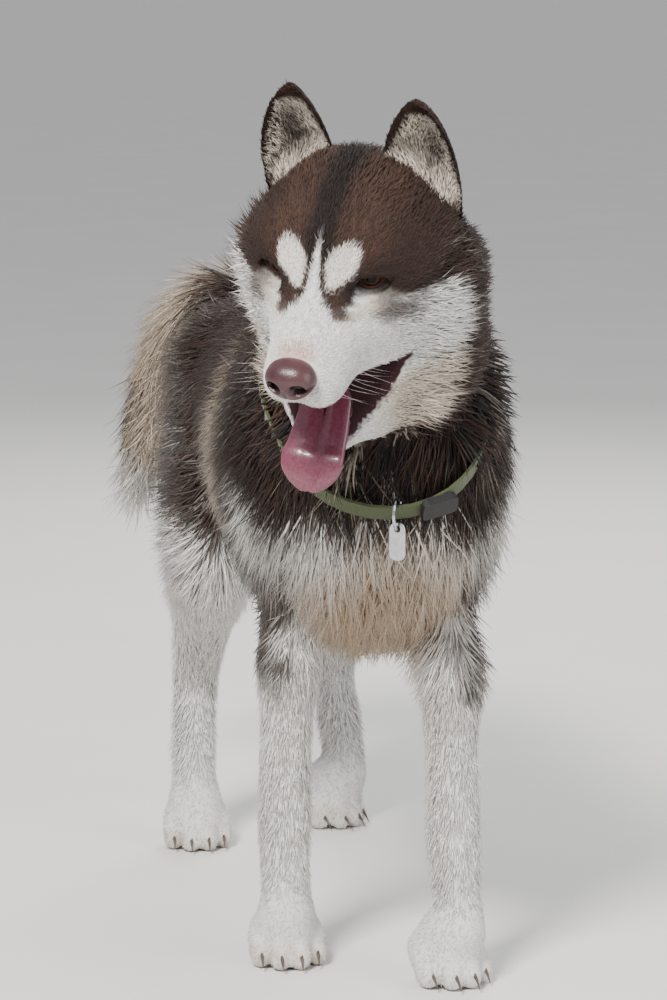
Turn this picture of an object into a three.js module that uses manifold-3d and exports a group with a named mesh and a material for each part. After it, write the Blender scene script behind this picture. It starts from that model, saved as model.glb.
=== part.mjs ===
// A life-size Siberian husky, standing, its head turned to its right and its tongue out.
// Millimetres, +Z up. The dog faces -Y, so its left side is +X, and its paws stand on z = 0.
import * as THREE from "three";
import Module from "manifold-3d";

const wasm = await Module();
wasm.setup();

// Driving dimensions
const gap = 0.3; // between pieces that touch
const withers = 575; // height over the shoulders, coat included
const kneeCut = 0.52 * withers; // where the shoulders and thighs end and the lower legs begin
const skull = new THREE.Vector3(-41, -376, 638); // middle of the braincase
const headTurn = -37; // degrees, towards the dog's right
const headDrop = 38; // degrees, nose down
const headTilt = 8; // degrees, left ear lower
const eyePlace = [36, -52, 6]; // in the head's own frame, nose towards -Y
const eyeRadius = 11.5;
const stance = {
  // where each paw's longest toe touches the ground, and how far the paw turns out, in degrees
  front_right: { x: -64, y: -213, turn: 2 },
  front_left: { x: 68, y: -297, turn: 12 },
  hind_right: { x: -80, y: 219, turn: 3 },
  hind_left: { x: 82, y: 291, turn: 28 },
};

// Colours and finishes
const finish = (color, roughness, metalness = 0) =>
  new THREE.MeshStandardMaterial({ color, roughness, metalness });
const brownFur = finish(0x4a352b, 0.9);
const whiteFur = finish(0xe4e0da, 0.9);
const creamFur = finish(0xcfc3b4, 0.9);
const noseSkin = finish(0x6b3f42, 0.4);
const tongueSkin = finish(0xb0506a, 0.35);
const eyeSurface = finish(0x2a1c12, 0.05);
const clawHorn = finish(0x4b4038, 0.5);
const webbing = finish(0x5d7a1e, 0.8);
const blackPlastic = finish(0x101214, 0.4);
const steel = finish(0xb9bcc0, 0.25, 1);

// Smooth forms: each part gives the distance to its surface, negative inside, and parts blend into one another

const clamp = (v, low, high) => Math.min(high, Math.max(low, v));
const mix = (a, b, t) => a + (b - a) * t;

// Points along a smooth curve through the stations, which are arrays of numbers of one length.
function smoothStations(stations, steps) {
  const at = (i) => stations[clamp(i, 0, stations.length - 1)];
  const made = [];
  for (let i = 0; i < stations.length - 1; i++) {
    for (let s = 0; s < steps; s++) {
      const t = s / steps;
      made.push(
        at(i).map((_, k) => {
          const [a, b, c, d] = [at(i - 1)[k], at(i)[k], at(i + 1)[k], at(i + 2)[k]];
          return (
            0.5 *
            (2 * b + (c - a) * t + (2 * a - 5 * b + 4 * c - d) * t * t + (3 * b - a - 3 * c + d) * t * t * t)
          );
        }),
      );
    }
  }
  made.push(stations.at(-1));
  return made;
}

// Distance to an ellipsoid-like section from its middle, q being 1 on the surface.
function scaledDistance(a, b, c, ra, rb, rc) {
  const q = Math.hypot(a / ra, b / rb, c / rc);
  const slope = Math.hypot(a / (ra * ra), b / (rb * rb), c / (rc * rc));
  return slope < 1e-9 ? -Math.min(ra, rb, rc) : (q * (q - 1)) / slope;
}

// A stretch of body or limb, with stations [x, y, z, half width, half depth] along its middle.
function stretch(stations, blend, steps = 3) {
  const line = smoothStations(stations, steps);
  const low = [0, 1, 2].map((k) => Math.min(...line.map((s) => s[k] - Math.max(s[3], s[4]))));
  const high = [0, 1, 2].map((k) => Math.max(...line.map((s) => s[k] + Math.max(s[3], s[4]))));
  function distance(x, y, z) {
    let nearest = Infinity;
    for (let i = 0; i < line.length - 1; i++) {
      const a = line[i];
      const b = line[i + 1];
      const [ux, uy, uz] = [b[0] - a[0], b[1] - a[1], b[2] - a[2]];
      const along = ((x - a[0]) * ux + (y - a[1]) * uy + (z - a[2]) * uz) / (ux * ux + uy * uy + uz * uz);
      const t = clamp(along, 0, 1);
      const width = mix(a[3], b[3], t);
      const depth = mix(a[4], b[4], t);
      const side = x - a[0] - ux * t;
      const d = scaledDistance(side, y - a[1] - uy * t, z - a[2] - uz * t, width, depth, depth);
      if (d < nearest) nearest = d;
    }
    return nearest;
  }
  return { low, high, blend, distance };
}

// An egg-shaped part: middle [x, y, z], half sizes [x, y, z].
function egg(middle, half, blend) {
  const [cx, cy, cz] = middle;
  return {
    low: middle.map((c, k) => c - half[k]),
    high: middle.map((c, k) => c + half[k]),
    blend,
    distance: (x, y, z) => scaledDistance(x - cx, y - cy, z - cz, ...half),
  };
}

const mirrored = ([x, y, z], ...rest) => [egg([x, y, z], ...rest), egg([-x, y, z], ...rest)];

// One form from its parts. A part whose box is far from the point leaves the form as it is there.
function form(parts) {
  return (x, y, z) => {
    let total = 400;
    for (const part of parts) {
      const away = Math.hypot(
        Math.max(part.low[0] - x, 0, x - part.high[0]),
        Math.max(part.low[1] - y, 0, y - part.high[1]),
        Math.max(part.low[2] - z, 0, z - part.high[2]),
      );
      if (away > total + part.blend) continue;
      const d = part.distance(x, y, z);
      const h = Math.max(part.blend - Math.abs(total - d), 0) / part.blend;
      total = Math.min(total, d) - 0.25 * h * h * part.blend;
    }
    return total;
  };
}

// The same form seen through a placement, so that it can be drawn in its own upright frame.
function placed(field, placement) {
  const e = placement.clone().invert().elements;
  return (x, y, z) =>
    field(
      e[0] * x + e[4] * y + e[8] * z + e[12],
      e[1] * x + e[5] * y + e[9] * z + e[13],
      e[2] * x + e[6] * y + e[10] * z + e[14],
    );
}

const blended = (a, b, k) => (x, y, z) => {
  const [p, q] = [a(x, y, z), b(x, y, z)];
  const h = Math.max(k - Math.abs(p - q), 0) / k;
  return Math.min(p, q) - 0.25 * h * h * k;
};

// Surfaces: a form is cut into cells, each cell into six tetrahedra, and each tetrahedron at the surface
// gives one or two faces. Each row holds two axes in the order they are walked, and which way round it is.
const AXIS_ORDERS = [
  [0, 1, 1],
  [1, 2, 1],
  [2, 0, 1],
  [0, 2, -1],
  [2, 1, -1],
  [1, 0, -1],
];
const ONE_INSIDE = [
  [0, 1, 2, 3],
  [1, 0, 3, 2],
  [2, 0, 1, 3],
  [3, 0, 2, 1],
];
const TWO_INSIDE = {
  3: [0, 1, 2, 3],
  5: [0, 2, 3, 1],
  9: [0, 3, 1, 2],
  6: [1, 2, 0, 3],
  10: [1, 3, 2, 0],
  12: [2, 3, 0, 1],
};

// The closed surface of a field within a box, as {points, faces}.
function surfaceOf(field, low, high, cell) {
  const count = [0, 1, 2].map((k) => Math.ceil((high[k] - low[k]) / cell) + 2);
  const [nx, ny, nz] = count;
  const values = new Float32Array(nx * ny * nz).fill(1);
  const index = (i, j, k) => i + nx * (j + ny * k);
  const place = (i, k) => low[k] + (i - 0.5) * cell;
  const block = 4;
  const reach = cell * block * 1.6;
  for (let k = 0; k < nz; k += block) {
    for (let j = 0; j < ny; j += block) {
      for (let i = 0; i < nx; i += block) {
        const middle = field(place(i + 1.5, 0), place(j + 1.5, 1), place(k + 1.5, 2));
        const far = Math.abs(middle) > reach;
        for (let c = k; c < Math.min(k + block, nz); c++) {
          for (let b = j; b < Math.min(j + block, ny); b++) {
            for (let a = i; a < Math.min(i + block, nx); a++) {
              const edge = !a || !b || !c || a === nx - 1 || b === ny - 1 || c === nz - 1;
              const value = far ? middle : field(place(a, 0), place(b, 1), place(c, 2));
              values[index(a, b, c)] = edge ? Math.max(value, 0.5 * cell) : value;
            }
          }
        }
      }
    }
  }
  const points = [];
  const faces = [];
  const known = new Map();
  const steps = [0, 1, 2, 3, 4, 5, 6, 7].map((c) => index(c & 1, (c >> 1) & 1, c >> 2));
  function crossing(cornerA, cornerB, base) {
    const [p, q] = cornerA < cornerB ? [cornerA, cornerB] : [cornerB, cornerA];
    const key = (base + steps[p]) * 8 + (q - p);
    if (known.has(key)) return known.get(key);
    const [va, vb] = [values[base + steps[p]], values[base + steps[q]]];
    const t = clamp(va / (va - vb), 0.06, 0.94);
    const at = base + steps[p];
    const cellPlace = [at % nx, Math.floor(at / nx) % ny, Math.floor(at / (nx * ny))];
    const made = points.length;
    points.push(
      cellPlace.map((c, k) => place(c + t * (((q >> k) & 1) - ((p >> k) & 1)), k)),
    );
    known.set(key, made);
    return made;
  }
  for (let k = 0; k < nz - 1; k++) {
    for (let j = 0; j < ny - 1; j++) {
      for (let i = 0; i < nx - 1; i++) {
        const base = index(i, j, k);
        let inside = 0;
        for (let c = 0; c < 8; c++) if (values[base + steps[c]] < 0) inside++;
        if (inside === 0 || inside === 8) continue;
        for (const [a, b, sign] of AXIS_ORDERS) {
          let tetra = [0, 1 << a, (1 << a) | (1 << b), 7];
          if (sign < 0) tetra = [tetra[0], tetra[2], tetra[1], tetra[3]];
          const mask = tetra.reduce((m, c, n) => m | (values[base + steps[c]] < 0 ? 1 << n : 0), 0);
          if (mask === 0 || mask === 15) continue;
          const cut = (m, n) => crossing(tetra[m], tetra[n], base);
          const pair = TWO_INSIDE[mask];
          if (pair) {
            const [p, q, r, s] = pair;
            faces.push([cut(p, r), cut(p, s), cut(q, s)], [cut(p, r), cut(q, s), cut(q, r)]);
          } else {
            const alone = [1, 2, 4, 8].indexOf(mask);
            const [p, q, r, s] = ONE_INSIDE[alone >= 0 ? alone : [14, 13, 11, 7].indexOf(mask)];
            const face = [cut(p, q), cut(p, r), cut(p, s)];
            faces.push(alone >= 0 ? face : [face[0], face[2], face[1]]);
          }
        }
      }
    }
  }
  return { points, faces };
}

// Fewer triangles: the edge whose loss moves the surface least goes first, until about `keep` faces are left.
function thinned({ points, faces }, keep) {
  const place = points.map((p) => p.slice());
  const alive = faces.map(() => true);
  const corners = faces.map((f) => f.slice());
  const around = place.map(() => new Set());
  corners.forEach((f, n) => f.forEach((v) => around[v].add(n)));
  const sub = (a, b) => [a[0] - b[0], a[1] - b[1], a[2] - b[2]];
  const cross = (a, b) => [a[1] * b[2] - a[2] * b[1], a[2] * b[0] - a[0] * b[2], a[0] * b[1] - a[1] * b[0]];
  const dot = (a, b) => a[0] * b[0] + a[1] * b[1] + a[2] * b[2];
  const normal = (a, b, c) => cross(sub(b, a), sub(c, a));
  const error = place.map(() => new Float64Array(10));
  for (const [a, b, c] of corners) {
    const n = normal(place[a], place[b], place[c]);
    const size = Math.hypot(...n) || 1e-12;
    const [x, y, z] = n.map((v) => v / size);
    const w = -(x * place[a][0] + y * place[a][1] + z * place[a][2]);
    const q = [x * x, x * y, x * z, x * w, y * y, y * z, y * w, z * z, z * w, w * w];
    for (const v of [a, b, c]) q.forEach((value, k) => (error[v][k] += value * size));
  }
  const cost = (q, [x, y, z]) =>
    q[0] * x * x + 2 * q[1] * x * y + 2 * q[2] * x * z + 2 * q[3] * x + q[4] * y * y +
    2 * q[5] * y * z + 2 * q[6] * y + q[7] * z * z + 2 * q[8] * z + q[9];
  const heap = [];
  const version = new Int32Array(place.length);
  function push(entry) {
    heap.push(entry);
    let i = heap.length - 1;
    while (i > 0) {
      const up = (i - 1) >> 1;
      if (heap[up].cost <= entry.cost) break;
      heap[i] = heap[up];
      i = up;
    }
    heap[i] = entry;
  }
  function pop() {
    const top = heap[0];
    const last = heap.pop();
    let i = 0;
    while (heap.length) {
      let down = 2 * i + 1;
      if (down >= heap.length) break;
      if (down + 1 < heap.length && heap[down + 1].cost < heap[down].cost) down++;
      if (heap[down].cost >= last.cost) break;
      heap[i] = heap[down];
      i = down;
    }
    if (heap.length) heap[i] = last;
    return top;
  }
  function consider(a, b) {
    const q = error[a].map((v, k) => v + error[b][k]);
    const [pa, pb] = [place[a], place[b]];
    const middle = pa.map((v, k) => (v + pb[k]) / 2);
    const options = [middle, pa, pb];
    const det =
      q[0] * (q[4] * q[7] - q[5] * q[5]) - q[1] * (q[1] * q[7] - q[5] * q[2]) + q[2] * (q[1] * q[5] - q[4] * q[2]);
    const length = Math.hypot(...sub(pa, pb));
    if (Math.abs(det) > 1e-6 * (q[0] + q[4] + q[7]) ** 3) {
      const [rx, ry, rz] = [-q[3], -q[6], -q[8]];
      const best = [
        rx * (q[4] * q[7] - q[5] * q[5]) - q[1] * (ry * q[7] - q[5] * rz) + q[2] * (ry * q[5] - q[4] * rz),
        q[0] * (ry * q[7] - rz * q[5]) - rx * (q[1] * q[7] - q[5] * q[2]) + q[2] * (q[1] * rz - ry * q[2]),
        q[0] * (q[4] * rz - ry * q[5]) - q[1] * (q[1] * rz - ry * q[2]) + rx * (q[1] * q[5] - q[4] * q[2]),
      ].map((v) => v / det);
      if (Math.hypot(...sub(best, middle)) < length) options.unshift(best);
    }
    const costs = options.map((p) => cost(q, p));
    const choice = costs.indexOf(Math.min(...costs));
    const spread = 2e-4 * length ** 4;
    push({ cost: costs[choice] + spread, a, b, to: options[choice], va: version[a], vb: version[b] });
  }
  const neighbours = (v) => {
    const found = new Set();
    for (const f of around[v]) for (const c of corners[f]) if (c !== v) found.add(c);
    return found;
  };
  for (const f of corners) {
    for (let k = 0; k < 3; k++) {
      const [a, b] = [f[k], f[(k + 1) % 3]];
      if (a < b) consider(a, b);
    }
  }
  let left = faces.length;
  while (left > keep && heap.length) {
    const { a, b, to, va, vb } = pop();
    if (version[a] !== va || version[b] !== vb || !around[a].size || !around[b].size) continue;
    const near = neighbours(b);
    const shared = [...neighbours(a)].filter((v) => near.has(v));
    if (shared.length !== 2) continue;
    const turned = [a, b].some((v) =>
      [...around[v]].some((f) => {
        if (corners[f].includes(a) && corners[f].includes(b)) return false;
        const before = normal(...corners[f].map((c) => place[c]));
        const after = normal(...corners[f].map((c) => (c === v ? to : place[c])));
        return dot(before, after) < 0.25 * Math.hypot(...before) * Math.hypot(...after);
      }),
    );
    if (turned) continue;
    for (const f of [...around[b]]) {
      if (corners[f].includes(a)) {
        alive[f] = false;
        left--;
        for (const c of corners[f]) around[c].delete(f);
      } else {
        corners[f][corners[f].indexOf(b)] = a;
        around[a].add(f);
      }
    }
    around[b].clear();
    place[a] = to;
    error[a] = error[a].map((v, k) => v + error[b][k]);
    version[a]++;
    version[b]++;
    for (const v of neighbours(a)) consider(a, v);
  }
  const number = new Map();
  const kept = [];
  const newFaces = corners
    .filter((_, n) => alive[n])
    .map((f) =>
      f.map((v) => {
        if (!number.has(v)) {
          number.set(v, kept.length);
          kept.push(place[v]);
        }
        return number.get(v);
      }),
    );
  return { points: kept, faces: newFaces };
}

// Solids and meshes

const solidOf = ({ points, faces }) =>
  new wasm.Manifold(
    new wasm.Mesh({
      numProp: 3,
      vertProperties: new Float32Array(points.flat()),
      triVerts: new Uint32Array(faces.flat()),
    }),
  );

const sculpt = (field, low, high, cell, keep) => solidOf(thinned(surfaceOf(field, low, high, cell), keep));

// The side of a plane that its normal points to, as a large block.
const BLOCK = 1600;
function side(point, direction, setBack = gap / 2) {
  const normal = direction.clone().normalize();
  const turn = new THREE.Quaternion().setFromUnitVectors(new THREE.Vector3(0, 0, 1), normal);
  const middle = point.clone().addScaledVector(normal, BLOCK / 2 + setBack);
  const geometry = new THREE.BoxGeometry(BLOCK, BLOCK, BLOCK);
  geometry.applyMatrix4(new THREE.Matrix4().compose(middle, turn, new THREE.Vector3(1, 1, 1)));
  return solidOf(meshData(geometry));
}

// Positions and faces of a closed three.js geometry, with shared corners joined.
function meshData(geometry) {
  const position = geometry.getAttribute("position");
  const number = new Map();
  const points = [];
  const at = [];
  for (let i = 0; i < position.count; i++) {
    const p = [position.getX(i), position.getY(i), position.getZ(i)];
    const key = p.map((v) => Math.round(v * 1e4)).join();
    if (!number.has(key)) {
      number.set(key, points.length);
      points.push(p);
    }
    at.push(number.get(key));
  }
  const order = geometry.index ? [...geometry.index.array] : at.map((_, i) => i);
  const faces = [];
  for (let i = 0; i < order.length; i += 3) {
    const face = [at[order[i]], at[order[i + 1]], at[order[i + 2]]];
    if (new Set(face).size === 3) faces.push(face);
  }
  return { points, faces };
}

function blockBetween(low, high) {
  const size = high.map((v, k) => v - low[k]);
  const geometry = new THREE.BoxGeometry(...size);
  geometry.translate(...low.map((v, k) => v + size[k] / 2));
  return solidOf(meshData(geometry));
}

// A closed skin over rings of points of one length. A last ring of one point makes a tip.
function loft(rings, closed = false) {
  const points = rings.flat();
  const faces = [];
  const starts = rings.reduce((s, r) => [...s, s.at(-1) + r.length], [0]);
  const pairs = closed ? rings.length : rings.length - 1;
  for (let i = 0; i < pairs; i++) {
    const j = (i + 1) % rings.length;
    const [n, m] = [rings[i].length, rings[j].length];
    for (let k = 0; k < n; k++) {
      const [a, b] = [starts[i] + k, starts[i] + ((k + 1) % n)];
      if (m === 1) {
        faces.push([a, b, starts[j]]);
      } else {
        const [c, d] = [starts[j] + k, starts[j] + ((k + 1) % n)];
        faces.push([a, b, d], [a, d, c]);
      }
    }
  }
  if (!closed) {
    const cap = (start, n, flip) => {
      for (let k = 1; k < n - 1; k++) {
        faces.push(flip ? [start, start + k + 1, start + k] : [start, start + k, start + k + 1]);
      }
    };
    cap(starts[0], rings[0].length, true);
    if (rings.at(-1).length > 1) cap(starts[rings.length - 1], rings.at(-1).length, false);
  }
  const made = solidOf({ points, faces });
  if (made.volume() > 0) return made;
  return solidOf({ points, faces: faces.map(([a, b, c]) => [a, c, b]) });
}

// The same data with its faces turned to point out.
function facingOut({ points, faces }) {
  const made = solidOf({ points, faces });
  if (made.volume() > 0) return made;
  return solidOf({ points, faces: faces.map(([a, b, c]) => [a, c, b]) });
}

// A solid with each face moved out by `by`, to cut a pocket that leaves a gap.
function grown(solid, by) {
  const mesh = solid.getMesh();
  const points = [];
  for (let i = 0; i < mesh.vertProperties.length; i += mesh.numProp) {
    points.push(new THREE.Vector3(...mesh.vertProperties.slice(i, i + 3)));
  }
  const around = points.map(() => []);
  const faces = [];
  for (let i = 0; i < mesh.triVerts.length; i += 3) {
    const [a, b, c] = mesh.triVerts.slice(i, i + 3);
    const normal = new THREE.Triangle(points[a], points[b], points[c]).getNormal(new THREE.Vector3());
    faces.push([a, b, c]);
    for (const v of [a, b, c]) around[v].push(normal);
  }
  const moved = points.map((p, v) => {
    const step = new THREE.Vector3();
    for (let turn = 0; turn < 40; turn++) {
      for (const normal of around[v]) {
        const short = by - step.dot(normal);
        if (short > 0) step.addScaledVector(normal, short);
      }
    }
    step.clampLength(0, 6 * by);
    return p.clone().add(step).toArray();
  });
  return solidOf({ points: moved, faces });
}

// The same solid with its corners at a thousandth of a millimetre, where any that fall together become one.
function rounded(solid) {
  const mesh = solid.getMesh();
  const data = { points: [], faces: [] };
  const number = new Map();
  const at = [];
  for (let i = 0; i < mesh.vertProperties.length; i += mesh.numProp) {
    const p = [...mesh.vertProperties.slice(i, i + 3)].map((v) => Math.round(v * 500) / 500);
    const key = p.join();
    if (!number.has(key)) number.set(key, data.points.push(p) - 1);
    at.push(number.get(key));
  }
  for (let i = 0; i < mesh.triVerts.length; i += 3) {
    const face = [...mesh.triVerts.slice(i, i + 3)].map((v) => at[v]);
    if (new Set(face).size === 3) data.faces.push(face);
  }
  return solidOf(data);
}

const largest = (solid) => solid.decompose().reduce((a, b) => (b.volume() > a.volume() ? b : a));

const dog = new THREE.Group();

function addNode(name, solid, material) {
  const mesh = largest(rounded(largest(solid))).getMesh();
  const geometry = new THREE.BufferGeometry();
  const stride = mesh.numProp;
  const position = new Float32Array((mesh.vertProperties.length / stride) * 3);
  for (let i = 0; i < position.length / 3; i++) {
    position.set(mesh.vertProperties.subarray(i * stride, i * stride + 3), i * 3);
  }
  geometry.setAttribute("position", new THREE.BufferAttribute(position, 3));
  geometry.setIndex(new THREE.BufferAttribute(new Uint32Array(mesh.triVerts), 1));
  geometry.computeVertexNormals();
  const made = new THREE.Mesh(geometry, material);
  made.name = name;
  dog.add(made);
}

// Trunk, neck and tail: [x, y, z, half width, half depth]
const trunk = stretch(
  [
    [0, -236, 418, 102, 118],
    [0, -200, 424, 110, 146],
    [0, -120, 427, 116, 147],
    [0, -20, 434, 113, 133],
    [0, 70, 444, 101, 117],
    [0, 150, 454, 95, 104],
    [0, 205, 454, 92, 92],
  ],
  60,
);
const neck = stretch(
  [
    [0, -222, 470, 96, 108],
    [-4, -272, 512, 96, 106],
    [-18, -322, 560, 93, 96],
    [-34, -362, 602, 84, 82],
  ],
  60,
);
const tailStations = [
  [-4, 262, 516, 34, 30],
  [-36, 312, 526, 38, 40],
  [-66, 346, 500, 41, 42],
  [-84, 368, 450, 42, 42],
  [-98, 380, 396, 36, 36],
  [-110, 386, 352, 24, 24],
  [-117, 388, 322, 9, 9],
];
const tail = stretch(tailStations, 16);

// Legs. Each one follows from its paw's place and from the sides of the trunk that it hangs from.
function foreLeg(sign, { x, y }) {
  const column = y + 40;
  return stretch(
    [
      [sign * 58, -222, 440, 50, 74],
      [sign * 62, mix(-205, column, 0.35), 372, 42, 60],
      [sign * 61, mix(-200, column, 0.7), 312, 31, 42],
      [mix(sign * 60, x, 0.3), column - 2, 262, 27, 32],
      [mix(sign * 60, x, 0.55), column + 4, 200, 22, 25],
      [mix(sign * 60, x, 0.8), column + 5, 130, 22.5, 24],
      [mix(sign * 60, x, 0.95), column - 2, 80, 21, 22],
      [x, column - 12, 46, 22, 24],
    ],
    34,
  );
}

function hindLeg(sign, { x, y }) {
  const hockY = y + 74;
  const hockX = mix(sign * 70, x, 0.4);
  return stretch(
    [
      [sign * 56, 200, 442, 56, 84],
      [sign * 72, 176, 368, 46, 76],
      [sign * 78, mix(150, y - 40, 0.4), 300, 39, 56],
      [mix(sign * 74, hockX, 0.5), mix(168, hockY - 26, 0.6), 240, 29, 40],
      [hockX, mix(168, hockY, 0.85), 190, 23, 29],
      [hockX, hockY, 148, 20.5, 25],
      [mix(hockX, x, 0.6), hockY - 14, 95, 20, 22],
      [x, y + 44, 48, 22, 24],
    ],
    34,
  );
}

// A paw, toes towards -Y, its longest toe ending at the origin.
const pawWidth = 62;
const toes = [-0.385, -0.135, 0.135, 0.385].map((share) => ({
  x: share * pawWidth,
  y: Math.abs(share) > 0.2 ? 13 : 0,
}));
const pawParts = [
  egg([0, 42, 20], [28, 34, 24], 20),
  egg([0, 44, 40], [22, 25, 24], 20),
  ...toes.map(({ x, y }) =>
    stretch(
      [
        [0.72 * x, y + 42, 28, 13, 14],
        [0.95 * x, y + 24, 21, 11.5, 13.5],
        [x, y + 11, 10, 10.2, 11.6],
      ],
      5,
    ),
  ),
];
const pawPlace = ({ x, y, turn }) =>
  new THREE.Matrix4().makeTranslation(x, y, 0).multiply(new THREE.Matrix4().makeRotationZ((turn * Math.PI) / 180));
const footprint = (name) => ({
  ...stance[name],
  turn: stance[name].turn * (name.endsWith("left") ? 1 : -1),
});
const pawForms = Object.fromEntries(
  Object.keys(stance).map((name) => [name, placed(form(pawParts), pawPlace(footprint(name)))]),
);

// Head, in its own upright frame: the braincase's middle at the origin, the nose towards -Y
const headPlace = new THREE.Matrix4()
  .makeTranslation(...skull)
  .multiply(new THREE.Matrix4().makeRotationZ((headTurn * Math.PI) / 180))
  .multiply(new THREE.Matrix4().makeRotationX((headDrop * Math.PI) / 180))
  .multiply(new THREE.Matrix4().makeRotationY((headTilt * Math.PI) / 180));
const inHead = ([x, y, z]) => new THREE.Vector3(x, y, z).applyMatrix4(headPlace).toArray();

// The mouth seen from the side, as [y, z]: its corner, the upper lips' line, and the lower lip's line
const mouthCorner = [-70, -58];
const upperLip = -60;
const lowerLip = [
  [-84, -77],
  [-104, -94],
  [-128, -111],
];
const jawRoot = [-38, -97]; // where the jaw's underside meets the throat
const headParts = [
  egg([0, 8, 8], [60, 66, 56], 30),
  ...mirrored([24, -44, 16], [27, 26, 21], 22),
  ...mirrored([39, -18, -18], [34, 46, 40], 26),
  ...mirrored([56, 14, -38], [36, 44, 48], 30),
  egg([0, 14, -58], [56, 54, 44], 30),
  stretch(
    [
      [0, -42, -14, 40, 30],
      [0, -72, -22, 37, 32],
      [0, -104, -28, 33, 32],
      [0, -122, -33, 29, 27],
    ],
    20,
  ),
  ...mirrored([16, -120, -43], [17, 28, 18], 12),
  stretch(
    [
      [0, -46, -84, 37, 24],
      [0, -80, -98, 35, 21],
      [0, -104, -108, 29, 16],
      [0, -116, -114, 22, 12],
    ],
    22,
  ),
];
const headForm = placed(form(headParts), headPlace);
const bodyForm = form([
  trunk,
  neck,
  foreLeg(-1, stance.front_right),
  foreLeg(1, stance.front_left),
  hindLeg(-1, stance.hind_right),
  hindLeg(1, stance.hind_left),
  tail,
]);
const withHead = blended(bodyForm, headForm, 34);

// Locks: flat tapered tufts that stand out of the coat, bent the way it lies, their roots sunk in it
const lockSink = 7; // how far a root lies below the surface
const lockBend = 0.18; // how far a tip stands off, as a share of the length

// Numbers from 0 to 1 that are the same each time for one seed.
function seeded(seed) {
  let state = seed;
  return () => {
    state = (state * 1664525 + 1013904223) % 4294967296;
    return state / 4294967296;
  };
}

// Where a ray from inside a form leaves it, and the way out there.
function surfaceFrom(field, from, way) {
  let [near, far] = [0, 260];
  for (let i = 0; i < 24; i++) {
    const middle = (near + far) / 2;
    if (field(...from.clone().addScaledVector(way, middle).toArray()) < 0) near = middle;
    else far = middle;
  }
  const point = from.clone().addScaledVector(way, near);
  const { x, y, z } = point;
  const out = new THREE.Vector3(
    field(x + 1, y, z) - field(x - 1, y, z),
    field(x, y + 1, z) - field(x, y - 1, z),
    field(x, y, z + 1) - field(x, y, z - 1),
  ).normalize();
  return { point, out };
}

function lock({ point, out }, lie, length, width) {
  const along = lie.clone().addScaledVector(out, -lie.dot(out)).normalize();
  const across = out.clone().cross(along);
  const rings = [
    [0, 0.35],
    [0.32, 0.5],
    [0.7, 0.34],
  ].map(([t, share]) => {
    const rise = mix(-lockSink, lockBend * length, 1 - (1 - t) ** 2);
    const middle = point.clone().addScaledVector(along, t * length).addScaledVector(out, rise);
    return [
      [1, 0],
      [0, 0.45],
      [-1, 0],
      [0, -0.45],
    ].map(([a, b]) =>
      middle.clone().addScaledVector(across, a * share * width).addScaledVector(out, b * share * width).toArray(),
    );
  });
  const tip = point.clone().addScaledVector(along, length).addScaledVector(out, lockBend * length);
  return loft([...rings, [tip.toArray()]]);
}

// A solid with locks on it, where rays from a line inside it come out. Each row is
// {from, ways, lie, length, width}, and each of its ways gives one lock.
function withLocks(solid, field, rows, seed) {
  const draw = seeded(seed);
  const vary = (amount) => 1 + amount * (2 * draw() - 1);
  return rows.reduce(
    (made, { from, ways, lie, length, width }) =>
      ways.reduce((all, way) => {
        const turned = way.clone().applyAxisAngle(lie, 0.12 * (2 * draw() - 1)).normalize();
        const root = surfaceFrom(field, from, turned);
        const bent = lie.clone().add(new THREE.Vector3(draw() - 0.5, draw() - 0.5, 0).multiplyScalar(0.3));
        return all.add(lock(root, bent, length * vary(0.2), width * vary(0.2)));
      }, made),
    solid,
  );
}

// Ways out at even steps of angle about an axis, 0 being the way that `first` points.
function fan(axis, first, from, to, count) {
  return Array.from({ length: count }, (_, k) => {
    const angle = (mix(from, to, count > 1 ? k / (count - 1) : 0.5) * Math.PI) / 180;
    return first.clone().applyAxisAngle(axis, angle);
  });
}
const vector = (...at) => new THREE.Vector3(...at);
const inHeadWay = (...way) => vector(...way).transformDirection(headPlace);

// Cuts between the pieces
const nape = new THREE.Vector3(...inHead([0, 46, -40]));
const napeDirection = new THREE.Vector3(-0.3, -0.75, 0.42);
const neckBase = new THREE.Vector3(0, -248, 470);
const neckDirection = new THREE.Vector3(0, -0.76, 0.64).normalize();
const throatWay = vector(1, 0, 0).cross(neckDirection); // forward and down, square to the neck
const alongNeck = (distance) => neckBase.clone().addScaledVector(neckDirection, distance);
const backAndDown = vector(0, 0.62, -0.78);

// Where the locks are: on the cheeks, the ruff, the chest and shoulders, the breeches and the tail
const cheekRows = [-1, 1].flatMap((sign) =>
  [
    { height: -22, length: 34 },
    { height: -48, length: 38 },
  ].map(({ height, length }) => ({
    from: vector(...inHead([sign * 24, 10, height])),
    ways: fan(inHeadWay(0, 0, 1), inHeadWay(sign, 0, -0.1), -sign * 28, sign * 34, 3),
    lie: inHeadWay(sign * 0.35, 0.75, -0.55),
    length,
    width: 15,
  })),
);
const ruffRows = [62, 88, 112].map((distance) => ({
  from: alongNeck(distance + 34),
  ways: fan(neckDirection, throatWay, 72, 288, 7),
  lie: neckDirection.clone().negate(),
  length: 40,
  width: 22,
}));
const chestRows = [
  { height: 452, length: 44, spread: 12 },
  { height: 402, length: 50, spread: 16 },
  { height: 352, length: 46, spread: 14 },
].map(({ height, length, spread }) => ({
  from: vector(0, -230, height),
  ways: fan(vector(0, 0, 1), vector(0, -1, 0), -spread, spread, 3),
  lie: vector(0, 0, -1),
  length,
  width: 20,
}));
const withersRow = {
  from: alongNeck(-46),
  ways: fan(neckDirection, throatWay, 110, 250, 6),
  lie: backAndDown,
  length: 56,
  width: 26,
};
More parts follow.
